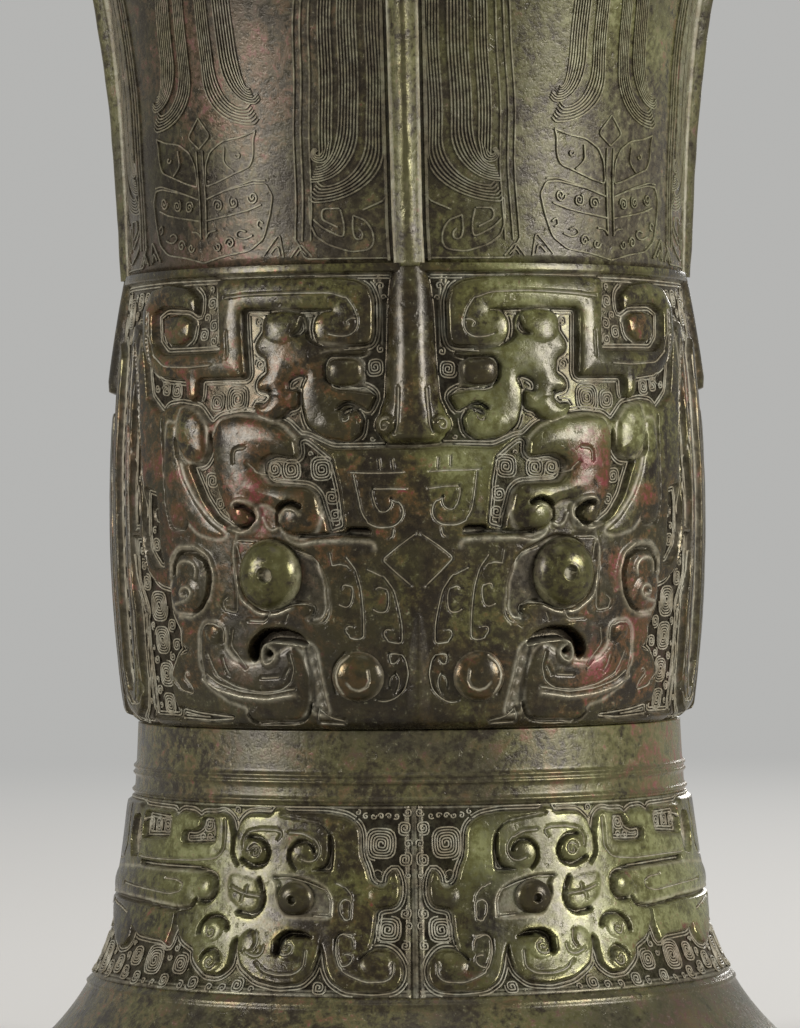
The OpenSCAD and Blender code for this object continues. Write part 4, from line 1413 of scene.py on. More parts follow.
class Patina:
    """Shared node group: the colours, gloss and grain of buried bronze from masks on the surface, with
    painted shade laid by one mask.
    """

    NAME = "buried_bronze"
    INPUTS = MASKS + ("polish",)

    @classmethod
    def group(cls) -> bpy.types.NodeTree:
        """Builds the group once.

        Returns:
            The node group with colour, roughness, metallic and grain outputs.
        """
        found = bpy.data.node_groups.get(cls.NAME)
        if found:
            return found
        tree = bpy.data.node_groups.new(cls.NAME, "ShaderNodeTree")
        for name in cls.INPUTS:
            tree.interface.new_socket(name, in_out="INPUT", socket_type="NodeSocketFloat")
        tree.interface.new_socket("colour", in_out="OUTPUT", socket_type="NodeSocketColor")
        for name in ("roughness", "metallic", "grain"):
            tree.interface.new_socket(name, in_out="OUTPUT", socket_type="NodeSocketFloat")
        n, tones = Nodes(tree), Tones()
        ins, outs = n.add("NodeGroupInput").outputs, n.add("NodeGroupOutput").inputs
        where = n.add("ShaderNodeTexCoord").outputs["Object"]
        broad = n.noise(where, 19.0, 4.0, 0.6, 0.5)
        cloud = n.noise(where, 52.0, 6.0, 0.66, 0.8)
        blotch = n.noise(where, 150.0, 6.0, 0.68, 0.8)
        speck = n.noise(where, 560.0, 5.0, 0.7)
        grit = n.noise(where, 1700.0, 3.0, 0.65)
        grain = n.plus(n.maths("MULTIPLY", blotch, 0.62), speck, 0.38)
        mottle = n.plus(n.plus(n.maths("MULTIPLY", blotch, 0.36), speck, 0.4), cloud, 0.24)
        lean = n.plus(mottle, ins["green"], 0.2)
        hot = n.plus(grain, ins["red"], 0.2)
        rub = n.maths("MULTIPLY", ins["wear"], ins["polish"])
        rub = n.maths("MULTIPLY", rub, n.span(grain, 0.38, 0.60, 0.35, 1.0))
        dust = n.maths("MULTIPLY", ins["earth"], n.span(speck, 0.30, 0.62, 0.4, 1.0))
        soil = n.mix(n.span(blotch, 0.40, 0.64), tones.soil, tones.pale_soil)
        layers = (
            (n.span(cloud, 0.46, 0.60, 0.0, 0.7), tones.cloud),
            (n.span(lean, 0.54, 0.66, 0.0, 0.9), tones.olive),
            (n.span(lean, 0.645, 0.76, 0.0, 0.85), tones.green),
            (n.span(hot, 0.56, 0.66, 0.0, 0.8), tones.rust),
            (n.span(n.plus(hot, speck, 0.5), 0.93, 1.0, 0.0, 0.9), tones.crimson),
            (n.span(n.plus(broad, speck, 0.35), 0.70, 0.84, 0.0, 0.7), tones.smoke),
            (n.span(n.maths("MULTIPLY", speck, grit), 0.335, 0.42, 0.0, 0.6), tones.fleck),
            (n.maths("MULTIPLY", rub, 0.42), tones.rubbed),
            # Painted shade: the last mask lays the near-black colour in hollows and on the low ground.
            (n.maths("MULTIPLY", ins["deep"], 0.86), tones.hollow),
            (n.maths("MULTIPLY", dust, 0.82), soil),
        )
        colour = n.mix(n.span(grain, 0.42, 0.58), tones.shade, tones.brown)
        for share, tone in layers:
            colour = n.mix(share, colour, tone)
        n.feed(outs["colour"], colour)
        gloss = n.plus(n.span(speck, 0.3, 0.7, 0.20, 0.36), dust, 0.3)
        n.feed(outs["roughness"], n.maths("SUBTRACT", gloss, n.maths("MULTIPLY", rub, 0.12), True))
        bare = n.span(rub, 0.0, 0.8, 0.0, 0.60)
        # Painted shade also makes those places metallic, so that their near-black colour reflects little
        # light.
        bare = n.maths("MAXIMUM", bare, n.span(ins["deep"], 0.15, 0.85, 0.0, 0.95))
        n.feed(outs["metallic"], n.maths("MULTIPLY", n.maths("SUBTRACT", 1.0, dust, True), bare))
        pits = n.span(n.noise(where, 330.0, 4.0, 0.65, 0.4), 0.60, 0.72, 0.0, -0.9)
        n.feed(outs["grain"], n.maths("ADD", n.plus(speck, grit, 0.5), pits))
        return tree


@dataclass(frozen=True)
class Finish:
    """Bronze surface: how much it is polished, how deep its grain is and the tint of its shine."""

    name: str
    polish: float = 1.0
    grain_mm: float = 0.10
    specular: float = 0.27
    bump: float = 0.55
    tint: Colour = (1.0, 0.93, 0.82, 1.0)
    masked: bool = True

    def material(self) -> bpy.types.Material:
        """Material of the finish, made on first use.

        Returns:
            The material.
        """
        found = bpy.data.materials.get(self.name)
        if found:
            return found
        mat = bpy.data.materials.new(self.name)
        mat.use_nodes = True
        n = Nodes(mat.node_tree)
        shader = mat.node_tree.nodes["Principled BSDF"]
        group = n.add("ShaderNodeGroup", node_tree=Patina.group())
        for k in MASKS if self.masked else ():
            n.feed(group.inputs[k], n.add("ShaderNodeAttribute", attribute_name=k).outputs["Fac"])
        group.inputs["polish"].default_value = self.polish
        bump = n.add("ShaderNodeBump")
        bump.inputs["Strength"].default_value = self.bump
        bump.inputs["Distance"].default_value = self.grain_mm * MM
        n.feed(bump.inputs["Height"], group.outputs["grain"])
        wires = (("Base Color", "colour"), ("Roughness", "roughness"), ("Metallic", "metallic"))
        for socket, output in wires:
            n.feed(shader.inputs[socket], group.outputs[output])
        n.feed(shader.inputs["Normal"], bump.outputs["Normal"])
        shader.inputs["Specular IOR Level"].default_value = self.specular
        shader.inputs["Specular Tint"].default_value = self.tint
        return mat


RELIEF = Finish("relief_bronze", 0.9, 0.13)
PLAIN = Finish("wall_bronze", 0.7, 0.18)
WORN = Finish("ridge_bronze", 1.0, 0.15)
STUD = Finish("stud_bronze", 1.0, 0.10)
SPACER = Finish("spacer_bronze", 0.5, 0.2, masked=False)


@dataclass
class Belly:
    """Belly: two registers of masks on each quarter, and the floor."""

    split_z: float = 162.0
    pitch: float = 0.35
    upper_shift: float = 1.2
    mask_shift: float = 2.4
    shift_z: float = 166.0
    ground_forms: int = 7
    floor_side: str = "58 94, 66.6 94, 66.6 108, 66.2 108, 65.4 104.6, 62.6 101.6, 58 100"
    floor_turns: int = 160

    def relief(self) -> Relief:
        """Relief of the belly's quarter, with the listed spirals and the patina patches.

        Returns:
            The relief.
        """
        spirals = [
            (46.75, 173.75, 3.9), (53.25, 173.25, 2.6), (24.75, 156.9, 3.3), (32.6, 156.9, 2.9),
            (37, 157, 2.0), (22.6, 150.2, 2.1), (22, 146, 1.8), (55.6, 154.6, 2.3), (53.4, 149, 1.7),
            (77.4, 115.4, 3.9), (76.6, 107.2, 3.6), (76.4, 99.8, 3.0), (78, 138.8, 2.0), (68, 176.6, 2.4),
            (72.6, 177, 2.2), (40.3, 182, 1.8), (40.9, 192.5, 1.5), (55.3, 192, 1.6), (55, 188.2, 1.5),
            (56.6, 197.6, 1.8), (92.4, 199.4, 2.4),
        ]
        red = [
            Spot(62, 112, 26, 0.55), Spot(60, 150, 60, 0.4, FL), Spot(43, 160, 8, 1.0),
            Spot(47, 155, 5, 0.9), Spot(52, 133, 4.5, 0.9), Spot(45, 108, 6, 0.8), Spot(17, 109, 4, 0.8),
            Spot(62, 149, 5, 0.6), Spot(77, 107, 5, 0.6), Spot(90, 150, 9, 0.6), Spot(66, 192, 5, 0.5),
            Spot(88, 178, 8, 0.5), Spot(58, 118, 4, 0.5), Spot(40, 150, 8, 0.5, FL),
            Spot(72, 195, 7, 0.6, FL), Spot(92, 160, 12, 0.6, FL), Spot(30, 174, 6, 0.4, FL),
            Spot(60, 178, 7, 0.4, FL),
        ]
        green = [
            Spot(50, 190, 34, 0.6), Spot(20, 150, 14, 0.4), Spot(40, 196, 26, 0.3, FL),
            Spot(10, 160, 10, 0.8), Spot(30, 200, 16, 0.5), Spot(31, 146, 5, 0.8), Spot(43, 168, 6, 0.7),
            Spot(20, 172, 9, 0.5), Spot(62, 168, 6, 0.8), Spot(20, 200, 12, 0.5, FL),
            Spot(62, 166, 8, 0.6, FL),
        ]
        up, low = self.upper_shift, self.mask_shift
        layers = [
            (up, UPPER_STROKES[:1]),
            (low, MASK_STROKES[: self.ground_forms]),
            (up, UPPER_STROKES[1:]),
            (low, MASK_STROKES[self.ground_forms :]),
        ]
        spirals = [(a - (low if b < self.shift_z else up), b, r) for a, b, r in spirals]
        return Relief(PROFILE.foot_top, PROFILE.belly_top, self.pitch, layers, spirals, red, green)

    def floor(self) -> None:
        """Floor of the belly with its rounded inner edge: a turned plug closed by two discs."""
        side, turns = pts(self.floor_side), self.floor_turns
        ring = np.arange(turns)
        caps = np.stack([ring[::-1], (len(side) - 1) * turns + ring])
        faces = [(grid_faces(len(side), turns, True), True), (caps, False)]
        shell = Shell("belly_floor")
        shell.add(turned(side, turns), faces, earth=0.5, green=0.4)
        shell.build(PLAIN, "cast_wall", "belly")

    def build(self) -> None:
        """Builds both registers of all quarters, and the floor."""
        relief = self.relief()
        row = int(np.argmin(np.abs(relief.sheet.z - self.split_z)))
        walls = (PROFILE.belly, PROFILE.belly_inside)
        for q in Quarter:
            upper = relief.panel(f"upper_register_{q.label}", q, slice(row, None), *walls)
            ridges = (f"forehead_ridge_{q.end}", f"side_ridge_{q.side}")
            upper.build(RELIEF, "relief", f"upper_mask_{q.label}", *ridges)
            lower = relief.panel(f"mask_register_{q.label}", q, slice(None, row + 1), *walls)
            lower.build(RELIEF, "relief", f"lower_mask_{q.label}", f"nose_{q.end}")
        self.floor()


@dataclass
class Foot:
    """Foot: collar with ring lines, dragon register and flaring skirt."""

    low: float = 31.0
    high: float = 76.0
    pitch: float = 0.375
    shift: float = 0.8
    rings: tuple[float, ...] = (83.2, 81.6, 77.3, 29.4)
    ring_w: float = 0.55
    ring_h: float = 0.75
    skirt_step: float = 0.6
    collar_step: float = 0.36
    thread_w: float = 0.54
    thread_h: float = 0.34

    def ring_profile(self, z: Array) -> Array:
        """Outside radius with a bell-shaped bead at each ring line."""
        beads = np.exp(-(((z[:, None] - np.array(self.rings)) / self.ring_w) ** 2)).sum(1)
        return PROFILE.foot(z) + self.ring_h * beads

    def ring(self, name: str, low: float, high: float, nodes: tuple[str, ...]) -> None:
        """Turned ring of the foot between two heights.

        Args:
            name: name of the piece.
            low: lower height.
            high: upper height.
            nodes: CAD nodes it stands for.
        """
        on_floor = low == 0.0
        step = self.skirt_step if on_floor else self.collar_step
        z = np.linspace(low, high, int((high - low) / step) + 2)
        zi = np.linspace(high, low, 14)
        outer = np.stack([self.ring_profile(z), z], 1)
        if on_floor:
            outer[:, 0] -= 1.0 - smoothstep(np.minimum(z / 1.2, 1.0))
        inner = np.stack([PROFILE.foot_inside(zi), zi], 1)
        points, faces = revolved(np.vstack([outer, inner]), TURNS)
        tall = np.arange(len(points))[:, None] < len(z)
        side = points[..., 0] / 80.0
        red = np.where(tall, 0.25 + 0.35 * np.exp(-(((side - 0.9) / 0.25) ** 2)) * (side > 0), 0.0)
        green = np.where(tall, 0.45 + 0.5 * smoothstep(side), 0.3)
        beads = np.pad((self.ring_profile(z) - PROFILE.foot(z)) / self.ring_h, (0, len(zi)))[:, None]
        wear = 0.35 * tall + np.where(tall, 0.6, 0.0) * beads
        shell = Shell(name)
        shell.add(points, faces, red=red, green=green, wear=wear, earth=np.where(tall, 0.06, 0.3))
        shell.build(PLAIN, "cast_wall", *nodes)

    def relief(self) -> Relief:
        """Relief of the foot's quarter.

        Returns:
            The relief.
        """
        spirals = [
            (8.25, 67.0, 4.4), (6.4, 46.7, 3.4), (70.25, 37.6, 4.0), (78.4, 38.2, 2.8), (87, 35.6, 2.6),
            (60.4, 37.2, 2.8), (58, 70.6, 2.0), (57.6, 67.6, 1.1), (60.4, 67.4, 1.1), (75.6, 70, 2.3),
            (80.4, 70, 2.2), (85, 69.8, 2.0), (92.6, 66.6, 2.6),
        ]
        spirals += [(4.4 + 1.95 * k, 73.6, 0.85) for k in range(5)]
        red = [
            Spot(74, 37, 9, 0.9), Spot(60, 56, 4, 0.6), Spot(60, 36, 6, 0.4), Spot(93, 40, 8, 0.6),
            Spot(84, 73, 5, 0.6), Spot(12, 36, 4, 0.5), Spot(70, 40, 8, 0.4, FL),
        ]
        green = [
            Spot(50, 54, 50, 0.7), Spot(50, 54, 50, 0.45, FL), Spot(70, 60, 22, 0.8), Spot(40, 60, 16, 0.6),
            Spot(24, 64, 10, 0.5), Spot(60, 60, 20, 0.6, FL), Spot(90, 50, 20, 0.6),
        ]
        layers = [(self.shift, FOOT_STROKES)]
        drawing = (layers, spirals, red, green)
        return Relief(self.low, self.high, self.pitch, *drawing, self.thread_w, self.thread_h)

    def build(self) -> None:
        """Builds the collar, the skirt and the dragon register of all quarters."""
        self.ring("foot_collar", self.high, PROFILE.foot_top, ("foot",))
        self.ring("foot_skirt", 0.0, self.low, ())
        relief = self.relief()
        walls = (PROFILE.foot, PROFILE.foot_inside)
        for q in Quarter:
            panel = relief.panel(f"dragon_register_{q.label}", q, slice(None), *walls)
            panel.build(RELIEF, "relief", f"foot_dragon_{q.label}")


@dataclass
class Neck:
    """Trumpet neck: plain wall, thread-work blades and four flanges."""

    tip_z: float = 322.0
    low_z: float = 206.6
    thread_w: float = 0.62
    thread_h: float = 0.36
    flange_half: float = 4.1
    flange_low: float = 2.6
    flange_high: float = 6.0
    flange_margin: float = 9.0
    fillet_at: float = 5.1
    fillet_w: float = 1.2
    fillet_h: float = 0.55
    hooks: int = 8

    def taper(self, z: Array) -> Array:
        """Share of a blade's width left at a height: full below, drawn in to its tip by a steep power."""
        t = np.clip((z - self.low_z) / (self.tip_z - self.low_z), 0.0, 1.0)
        return 1.0 - t**4.4

    def shell(self) -> None:
        """Turned wall of the neck with a rounded lip and slow casting waves."""
        z = np.linspace(PROFILE.belly_top, PROFILE.lip_z - 1.0, 64)
        zi = np.linspace(PROFILE.lip_z - 1.4, PROFILE.belly_top, 26)
        lip = np.array([PROFILE.mouth_r, PROFILE.lip_z]) - pts("0.6 0.3, 2.4 0, 4.2 0.2")
        outer = np.stack([PROFILE.neck(z), z], 1)
        inner = np.stack([PROFILE.neck_inside(zi), zi], 1)
        points, faces = revolved(np.vstack([outer, lip, inner]), TURNS)
        tall = np.arange(len(points))[:, None] < len(z) + 2
        waves = soft_noise(points.shape[:2], (20, 30), 91) * 0.12
        steps = np.arange(TURNS)
        seam = smoothstep(np.minimum(steps, TURNS - 1 - steps) / 12.0)[None, :]
        size = np.hypot(points[..., 0], points[..., 1])
        points[..., :2] *= (1.0 + waves * seam * tall / size)[..., None]
        x = points[..., 0] / 70.0
        patch = soft_noise(points.shape[:2], (9, 14), 92)
        left = 0.7 * smoothstep(0.3 - x) * smoothstep(patch + 0.4)
        red = np.where(tall, left + 0.55 * smoothstep((x - 0.86) / 0.16), 0.0)
        green = np.where(tall, 0.3 + 0.5 * smoothstep(x + 0.1) * smoothstep(0.8 - patch), 0.5)
        shell = Shell("neck_wall")
        shell.add(
            points,
            faces,
            red=red,
            green=green,
            wear=0.2 * tall,
            earth=np.where(tall, 0.06 + 0.08 * patch, 0.22 + 0.12 * patch),
            # Darker towards the left side and in random patches.
            deep=np.where(tall, 0.5 * smoothstep(0.1 - x) + 0.3 * smoothstep(-patch), 0.0),
        )
        shell.build(PLAIN, "cast_wall", "neck")

    def leaf(
        self, centre: float, way: int, foot_z: float, ends: float, start: float, whole: bool
    ) -> list[Array]:
        """Half a blade: bundles of lines that run down and turn outwards in nested hooks.

        Args:
            centre: middle line of the blade on the drum.
            way: side of the middle line, 1 or -1.
            foot_z: lowest height of the outermost hook.
            ends: drum length at which the hooks end.
            start: distance of the first line from the middle line.
            whole: whether the inner bundle and the border lines are drawn.

        Returns:
            Paths of the lines.
        """
        bundles = [(start + 0.74 * k, foot_z + 0.75 * k, ends - 0.5 * k) for k in range(6)]
        bundles += [
            (start + 6.0 + 0.82 * k, foot_z + 4.9 + 0.6 * k, ends + 0.6 - 0.3 * k) for k in range(7)
        ]
        paths = []
        for off, turn_z, reach in bundles:
            up = np.linspace(self.tip_z - 5.0 - off * 1.2, turn_z + 12.0, 26)
            down = np.stack([off * self.taper(up) / self.taper(turn_z + 12.0), up], 1)
            a = np.linspace(0.0, math.pi / 2, 14)[1:]
            hook = np.stack([reach - (reach - off) * np.cos(a), turn_z + 12.0 * (1.0 - np.sin(a))], 1)
            lift = np.stack([np.linspace(0.6, 1.6, 3) + reach, turn_z + np.array([0.2, 0.6, 1.1])], 1)
            paths.append(np.vstack([down, hook, lift if off < 11 else hook[-1:] + [[0.3, 0.1]]]))
        inner = [18.6 + 0.85 * k for k in range(5)] if whole else []
        for k, off in enumerate(inner):
            up = np.linspace(self.tip_z - 30.0, foot_z + 15.0 - k, 22)
            down = np.stack([off * self.taper(up), up], 1)
            curl = spiral(22.6, foot_z + 12.0, 3.6 - 0.8 * k, 0.9, -1, math.pi, 2.6)[::-1]
            paths.append(np.vstack([down, curl[1:]]) if k < 4 else down)
        for off in (24.6, 26.8, 28.6) if whole else ():
            up = np.linspace(self.tip_z - 0.5 * off / 24.0, self.low_z + 5.0, 36)
            paths.append(np.stack([off * self.taper(up) + 0.9 * (up < 232) * (232 - up) / 26.0, up], 1))
        return [np.stack([centre + way * p[:, 0], p[:, 1]], 1) for p in paths]

    def figures(self) -> list[Array]:
        """Hooks under the flange blades, and the eyed faces under the blades between them.

        Returns:
            Paths in the front right quarter.
        """
        hooks = [
            ("13.75 217.5, 10.5 216.25, 8.75 213.75, 8.5 210.75, 9.75 209.25, 14.25 208.75, 20.5 210.5,"
             "24 212.75, 25.5 216, 25.5 222.25"),
            "13.75 217.5, 14 214.25, 13.25 211.75, 11.5 211.75, 11.25 213.25, 12.25 214.25",
            "17.25 219, 16.25 215.5, 16.25 212.25, 18.5 213, 22.25 214.75, 24.5 216.75",
            "17.5 219.25, 22.25 219.25, 22.5 216.75, 18 214.75", "4.6 222.4, 6 221, 11.25 218.75",
            "4.6 207.2, 27 207.3, 28 210.25, 29.75 212.75", "25 207.8, 28 211, 30.6 207.8",
            "26.4 208.2, 28 209.8, 29.2 208.2",
        ]
        face = [
            ("39.5 238.5, 44 237.25, 49.75 236.5, 54 234.25, 56 231, 56.5 225.75, 52 226.75, 46.75 228.5,"
             "41.75 230, 40.5 232.5, 40.25 236.75, 39.5 238.5"),
            "49.25 235, 49.75 231.5, 48.25 230, 46.75 229",
            "37.25 226.5, 40.75 226.75, 47.5 225.25, 56.5 222.75",
            ("50.25 224.5, 41.25 226, 37.25 225.75, 35.5 222.75, 36.5 218, 38.5 212.5, 43 209.75,"
             "50.75 208.75, 58 207.3"),
            "39 220.75, 43.25 219.5, 47.5 218.75, 56.8 217.5", "58.1 242.5, 53.75 238, 58.1 235",
            "56.9 234.5, 57 213.25", "53.5 215, 56 214.75, 57.2 213.25",
            "38.5 216.25, 40 217.25, 40.5 215.5, 39.25 215", "32.6 207.8, 33.6 213.6, 38.6 208.4",
            "33.6 208.4, 34.2 211, 36.4 208.8", "42 213.4, 45 212.4, 47.4 213.6, 46 215, 44 214.4",
        ]
        paths = [rounded(pts(k), False) for k in hooks]
        half = [rounded(pts(k), False) for k in face]
        half += [
            spiral(45.2, 233.0, 1.0, 1.0, 1), spiral(41.6, 222.6, 1.6, 1.8, 1),
            spiral(52.6, 221.0, 1.7, 2.0, -1, 0.0, 3.0), spiral(47.6, 221.6, 1.6, 2.0, 1, 1.0, 3.0),
            spiral(49, 211.8, 1.5, 1.6, -1), spiral(53, 211.2, 1.3, 1.4, 1),
        ]
        middle = QUARTER / 2
        shift = middle - 58.12
        half = [p + [[shift, 0.0]] for p in half]
        return paths + half + [np.stack([2 * middle - p[:, 0], p[:, 1]], 1) for p in half]

    def blades(self, quarter: Quarter) -> None:
        """Thread-work of a quarter: two half blades on the flanges and a whole one between them.

        Args:
            quarter: the quarter.
        """
        middle = QUARTER / 2
        wide, slim = (220.8, 24.0, 5.6, True), (240.2, 18.0, 2.6, False)
        paths = self.leaf(0.0, 1, *wide) + self.leaf(QUARTER, -1, *wide)
        paths += self.leaf(middle, -1, *slim) + self.leaf(middle, 1, *slim)
        figures = self.figures()
        paths += figures + [np.stack([QUARTER - p[:, 0], p[:, 1]], 1) for p in figures[: self.hooks]]
        edge = np.linspace(self.low_z, PROFILE.lip_z - self.flange_margin, 90)
        places = (self.fillet_at, QUARTER - self.fillet_at)
        fillets = [np.stack([0.0 * edge + k, edge], 1) for k in places]
        self.strips(quarter, fillets, self.fillet_w, self.fillet_h, "fillets")
        self.strips(quarter, paths, self.thread_w, self.thread_h, "blades")

    def strips(self, quarter: Quarter, paths: list[Array], width: float, high: float, name: str) -> None:
        """Raised threads of a quarter on the neck's wall, with a little drift of the hand.

        Args:
            quarter: the quarter.
            paths: drum points of the threads.
            width: width of a thread's foot.
            high: height of its crest.
            name: name of the work.
        """
        p, up, faces = thread_strip(paths, width, high)
        rng = np.random.default_rng(quarter.seed)
        a, b = p[..., 0], p[..., 1]
        drift = 0.25 * np.sin(b * 0.21 + rng.uniform(0, 6))
        drift = drift + 0.2 * np.sin(a * 0.3 + rng.uniform(0, 6))
        a = a + drift * (a > 6) * (a < QUARTER - 6)
        points = wall(a, b, PROFILE.neck(b) + up)
        shell = Shell(f"neck_{name}_{quarter.label}")
        x = quarter.value[0] * np.sin(a / DRUM)
        # The pale earth colour of the thread tops paints their highlight, and the sunk feet get painted
        # shade.
        shell.add(
            quarter.place(points.reshape(-1, 3)),
            faces,
            quarter.flips,
            earth=0.4 * (up > 0.0),
            wear=0.4 * (up > 0.0),
            deep=0.9 * (up < 0.0),
            green=0.4 + 0.4 * smoothstep(x),
            red=0.4 * smoothstep(-x),
        )
        shell.build(RELIEF, "cast_wall")

    def flange(self, side: str, turn: int) -> None:
        """Flange up the neck: a peaked section with soft shoulders that grows on its way up the wall.

        Args:
            side: side of the vessel that it stands on.
            turn: quarter turns from the front.
        """
        z = np.linspace(PROFILE.belly_top - 0.8, PROFILE.lip_z - self.flange_margin, 130)
        v = np.linspace(-1.0, 1.0, 25)
        u = (z - z[0]) / (z[-1] - z[0])
        rise = self.flange_low + (self.flange_high - self.flange_low) * u
        crest = rise * smoothstep((1.0 - u) / 0.03 + 0.25)
        up = crest[:, None] * (1.0 - np.abs(v)[None, :] ** 1.6) - 0.35 * (np.abs(v) > 0.999)[None, :]
        bead = 0.35 * np.exp(-(((np.abs(v) - 0.86) / 0.07) ** 2))[None, :]
        nick = soft_noise(up.shape, (40, 5), 70 + turn) * 0.16
        s = turn * QUARTER + v[None, :] * self.flange_half
        points = wall(s, z[:, None], PROFILE.neck(z)[:, None] + up + bead + nick * (1.0 - np.abs(v)))
        rows, columns = up.shape
        i = np.arange(rows - 1) * columns
        under = np.stack([i + columns - 1, i, i + columns, i + 2 * columns - 1], 1)
        caps = np.stack([np.arange(columns)[::-1], (rows - 1) * columns + np.arange(columns)])
        top = np.broadcast_to(1.0 - np.abs(v)[None, :], up.shape)
        shell = Shell(f"flange_{side}")
        shell.add(
            points,
            [(grid_faces(rows, columns), True), (under, False), (caps, False)],
            wear=smoothstep((top - 0.45) / 0.5),
            earth=0.9 * np.exp(-(((top - 0.1) / 0.09) ** 2)) + 0.08,
            green=0.6,
            red=0.1,
        )
        shell.build(WORN, "worn_ridge", f"neck_flange_{side}")

    def build(self) -> None:
        """Builds the wall, the blades of all quarters and the flanges."""
        self.shell()
        for q in Quarter:
            self.blades(q)
        for turn, side in enumerate(("front", "right", "back", "left")):
            self.flange(side, turn)


@dataclass(frozen=True)
class Stud:
    """Round or squarish boss: a dome with an optional pupil and incised marks."""

    node: str
    s: float
    z: float
    across: float
    up: float
    high: float
    base: float = 0.0
    pupil: float = 0.0
    square: float = 2.0
    marks: tuple[str, ...] = ()
    red: float = 0.0
    green: float = 0.25
    clay: float = 0.0
    look: float = 0.0

    STEPS = 64
    RINGS = 32
    PUPIL_DEEP = 1.7
    MARK_DEEP = 0.4
    MARK_HALF = 0.42
    SKIRT = -1.6
    CLAY = 0.35

    def build(self, quarter: Quarter) -> None:
        """Builds the stud of a quarter.

        The dome is a polar grid. Its height is a root of one minus a power of the distance from its middle,
        less a round pupil and a groove along each mark.

        Args:
            quarter: the quarter.
        """
        turns, rings = self.STEPS, self.RINGS
        a = np.arange(turns) * 2 * math.pi / turns
        rho = (np.arange(1, rings + 1) / rings)[:, None] ** 0.9
        q = (np.abs(np.cos(a)) ** self.square + np.abs(np.sin(a)) ** self.square) ** (-1.0 / self.square)
        x, y = rho * q * np.cos(a) * self.across, rho * q * np.sin(a) * self.up
        h = self.high * np.sqrt(np.clip(1.0 - rho**2.3, 0.0, 1.0)) + 0.0 * x
        away = np.hypot(x - self.look, y + 0.1)
        hole = 1.0 - smoothstep((away - self.pupil + 0.2) / 0.55) if self.pupil else 0.0 * x
        lid = 0.14 * np.exp(-(((away - self.pupil - 0.6) / 0.4) ** 2)) * (self.pupil > 0)
        h = h - self.PUPIL_DEEP * hole + lid
        line = 0.0 * x
        for mark in self.marks:
            gap = span_distance(x, y, rounded(pts(mark), False, 0.8), False)
            line = np.maximum(line, np.clip(1.0 - (gap / self.MARK_HALF) ** 2, 0.0, 1.0))
        h = h - self.MARK_DEEP * line
        mid = self.high - self.PUPIL_DEEP * float(abs(self.look) < 0.1 and self.pupil > 0)
        x, y = np.vstack([x, x[-1:]]), np.vstack([y, y[-1:]])
        h = np.vstack([h, np.full((1, turns), self.SKIRT)])
        radius = PROFILE.belly if self.z > PROFILE.foot_top else PROFILE.foot
        ground = float(radius(np.array(self.z))) + self.base
        turn = self.s / DRUM
        out = np.array([math.sin(turn), -math.cos(turn), 0.0])
        side = np.array([math.cos(turn), math.sin(turn), 0.0])
        origin = ground * out + np.array([0.0, 0.0, self.z])
        upwards = np.array([0.0, 0.0, 1.0])
        points = origin + x[..., None] * side + y[..., None] * upwards + h[..., None] * out
        pole = (origin + mid * out)[None, :]
        n = (rings + 1) * turns
        i = np.arange(turns)
        k = (i + 1) % turns
        fan = np.stack([np.full(turns, n), i, k], 1)
        faces = [
            (grid_faces(rings + 1, turns, True)[:, ::-1], True),
            (fan, True),
            ((rings * turns + i[::-1])[None, :], False),
        ]
        edge = np.vstack([smoothstep((rho - 0.86) / 0.14) + 0.0 * line, np.ones((1, turns))])
        lying = np.maximum(line * 0.9, hole * (self.CLAY + self.clay))
        earth = np.maximum(np.vstack([lying, np.zeros((1, turns))]), 0.3 * edge)
        middle = self.CLAY + self.clay if mid < self.high else 0.0
        shell = Shell(f"{self.node}_dome_{quarter.label}")
        shell.add(
            quarter.place(np.vstack([points.reshape(-1, 3), pole])),
            faces,
            quarter.flips,
            wear=np.append(0.75 - 0.55 * edge.ravel(), 0.4),
            earth=np.append(earth.ravel(), middle),
            red=self.red,
            green=self.green,
        )
        shell.build(STUD, "stud", f"{self.node}_{quarter.label}")


STUDS = [
    Stud("upper_eye", 16.5, 179.9, 4.6, 3.5, 2.5, 0.4, square=2.8),
    Stud("mask_eye", 36.5, 131.6, 7.9, 8.7, 6.2, 0.8, pupil=1.5, green=0.6, clay=0.6, look=-1.3),
    Stud("nostril", 14.7, 107.2, 6.3, 6.2, 3.3, 1.4, red=0.45,
         marks=(
             "-2.9 1.4, -3.2 -1, -2.4 -2.6, -0.6 -3.4, 1.2 -2.9, 2.4 -1.6",
             "2.2 4.7, 4.2 3, 5.2 0.6, 4.9 -1.8, 3.6 -4",
         )),
    Stud("foot_eye", 29.5, 53.8, 4.7, 4.4, 2.9, 0.7, pupil=0.75),
]


@dataclass(frozen=True)
class Lamp:
    """Square soft lamp aimed at the belly, with its place and side in metres and its power in watts."""

    name: str
    at: tuple[float, float, float]
    size: float
    power: float
    tint: tuple[float, float, float]

    AIM = (0.0, 0.0, 0.17)

    def build(self) -> None:
        """Hangs the lamp and turns it to the belly."""
        data = bpy.data.lights.new(self.name, "AREA")
        data.size = self.size
        data.energy = self.power
        data.color = self.tint
        lamp = bpy.data.objects.new(self.name, data)
        lamp.location = self.at
        aim = Vector(np.array(self.AIM) - np.array(self.at))
        lamp.rotation_euler = aim.to_track_quat("-Z", "Y").to_euler()
        bpy.context.scene.collection.objects.link(lamp)


LAMPS = (
    Lamp("right", (1.98, -1.0, 0.74), 0.8, 76.0, (1.0, 0.98, 0.95)),
    Lamp("left", (-2.03, -0.95, 0.70), 0.8, 56.0, (1.0, 0.98, 0.96)),
    Lamp("top", (0.0, -0.7, 1.9), 1.0, 4.5, (0.97, 0.98, 1.0)),
    Lamp("back", (0.5, 2.4, 0.9), 0.9, 26.0, (1.0, 0.99, 0.97)),
    Lamp("fill", (0.2, -2.2, 0.4), 1.6, 1.0, (1.0, 0.99, 0.97)),
)


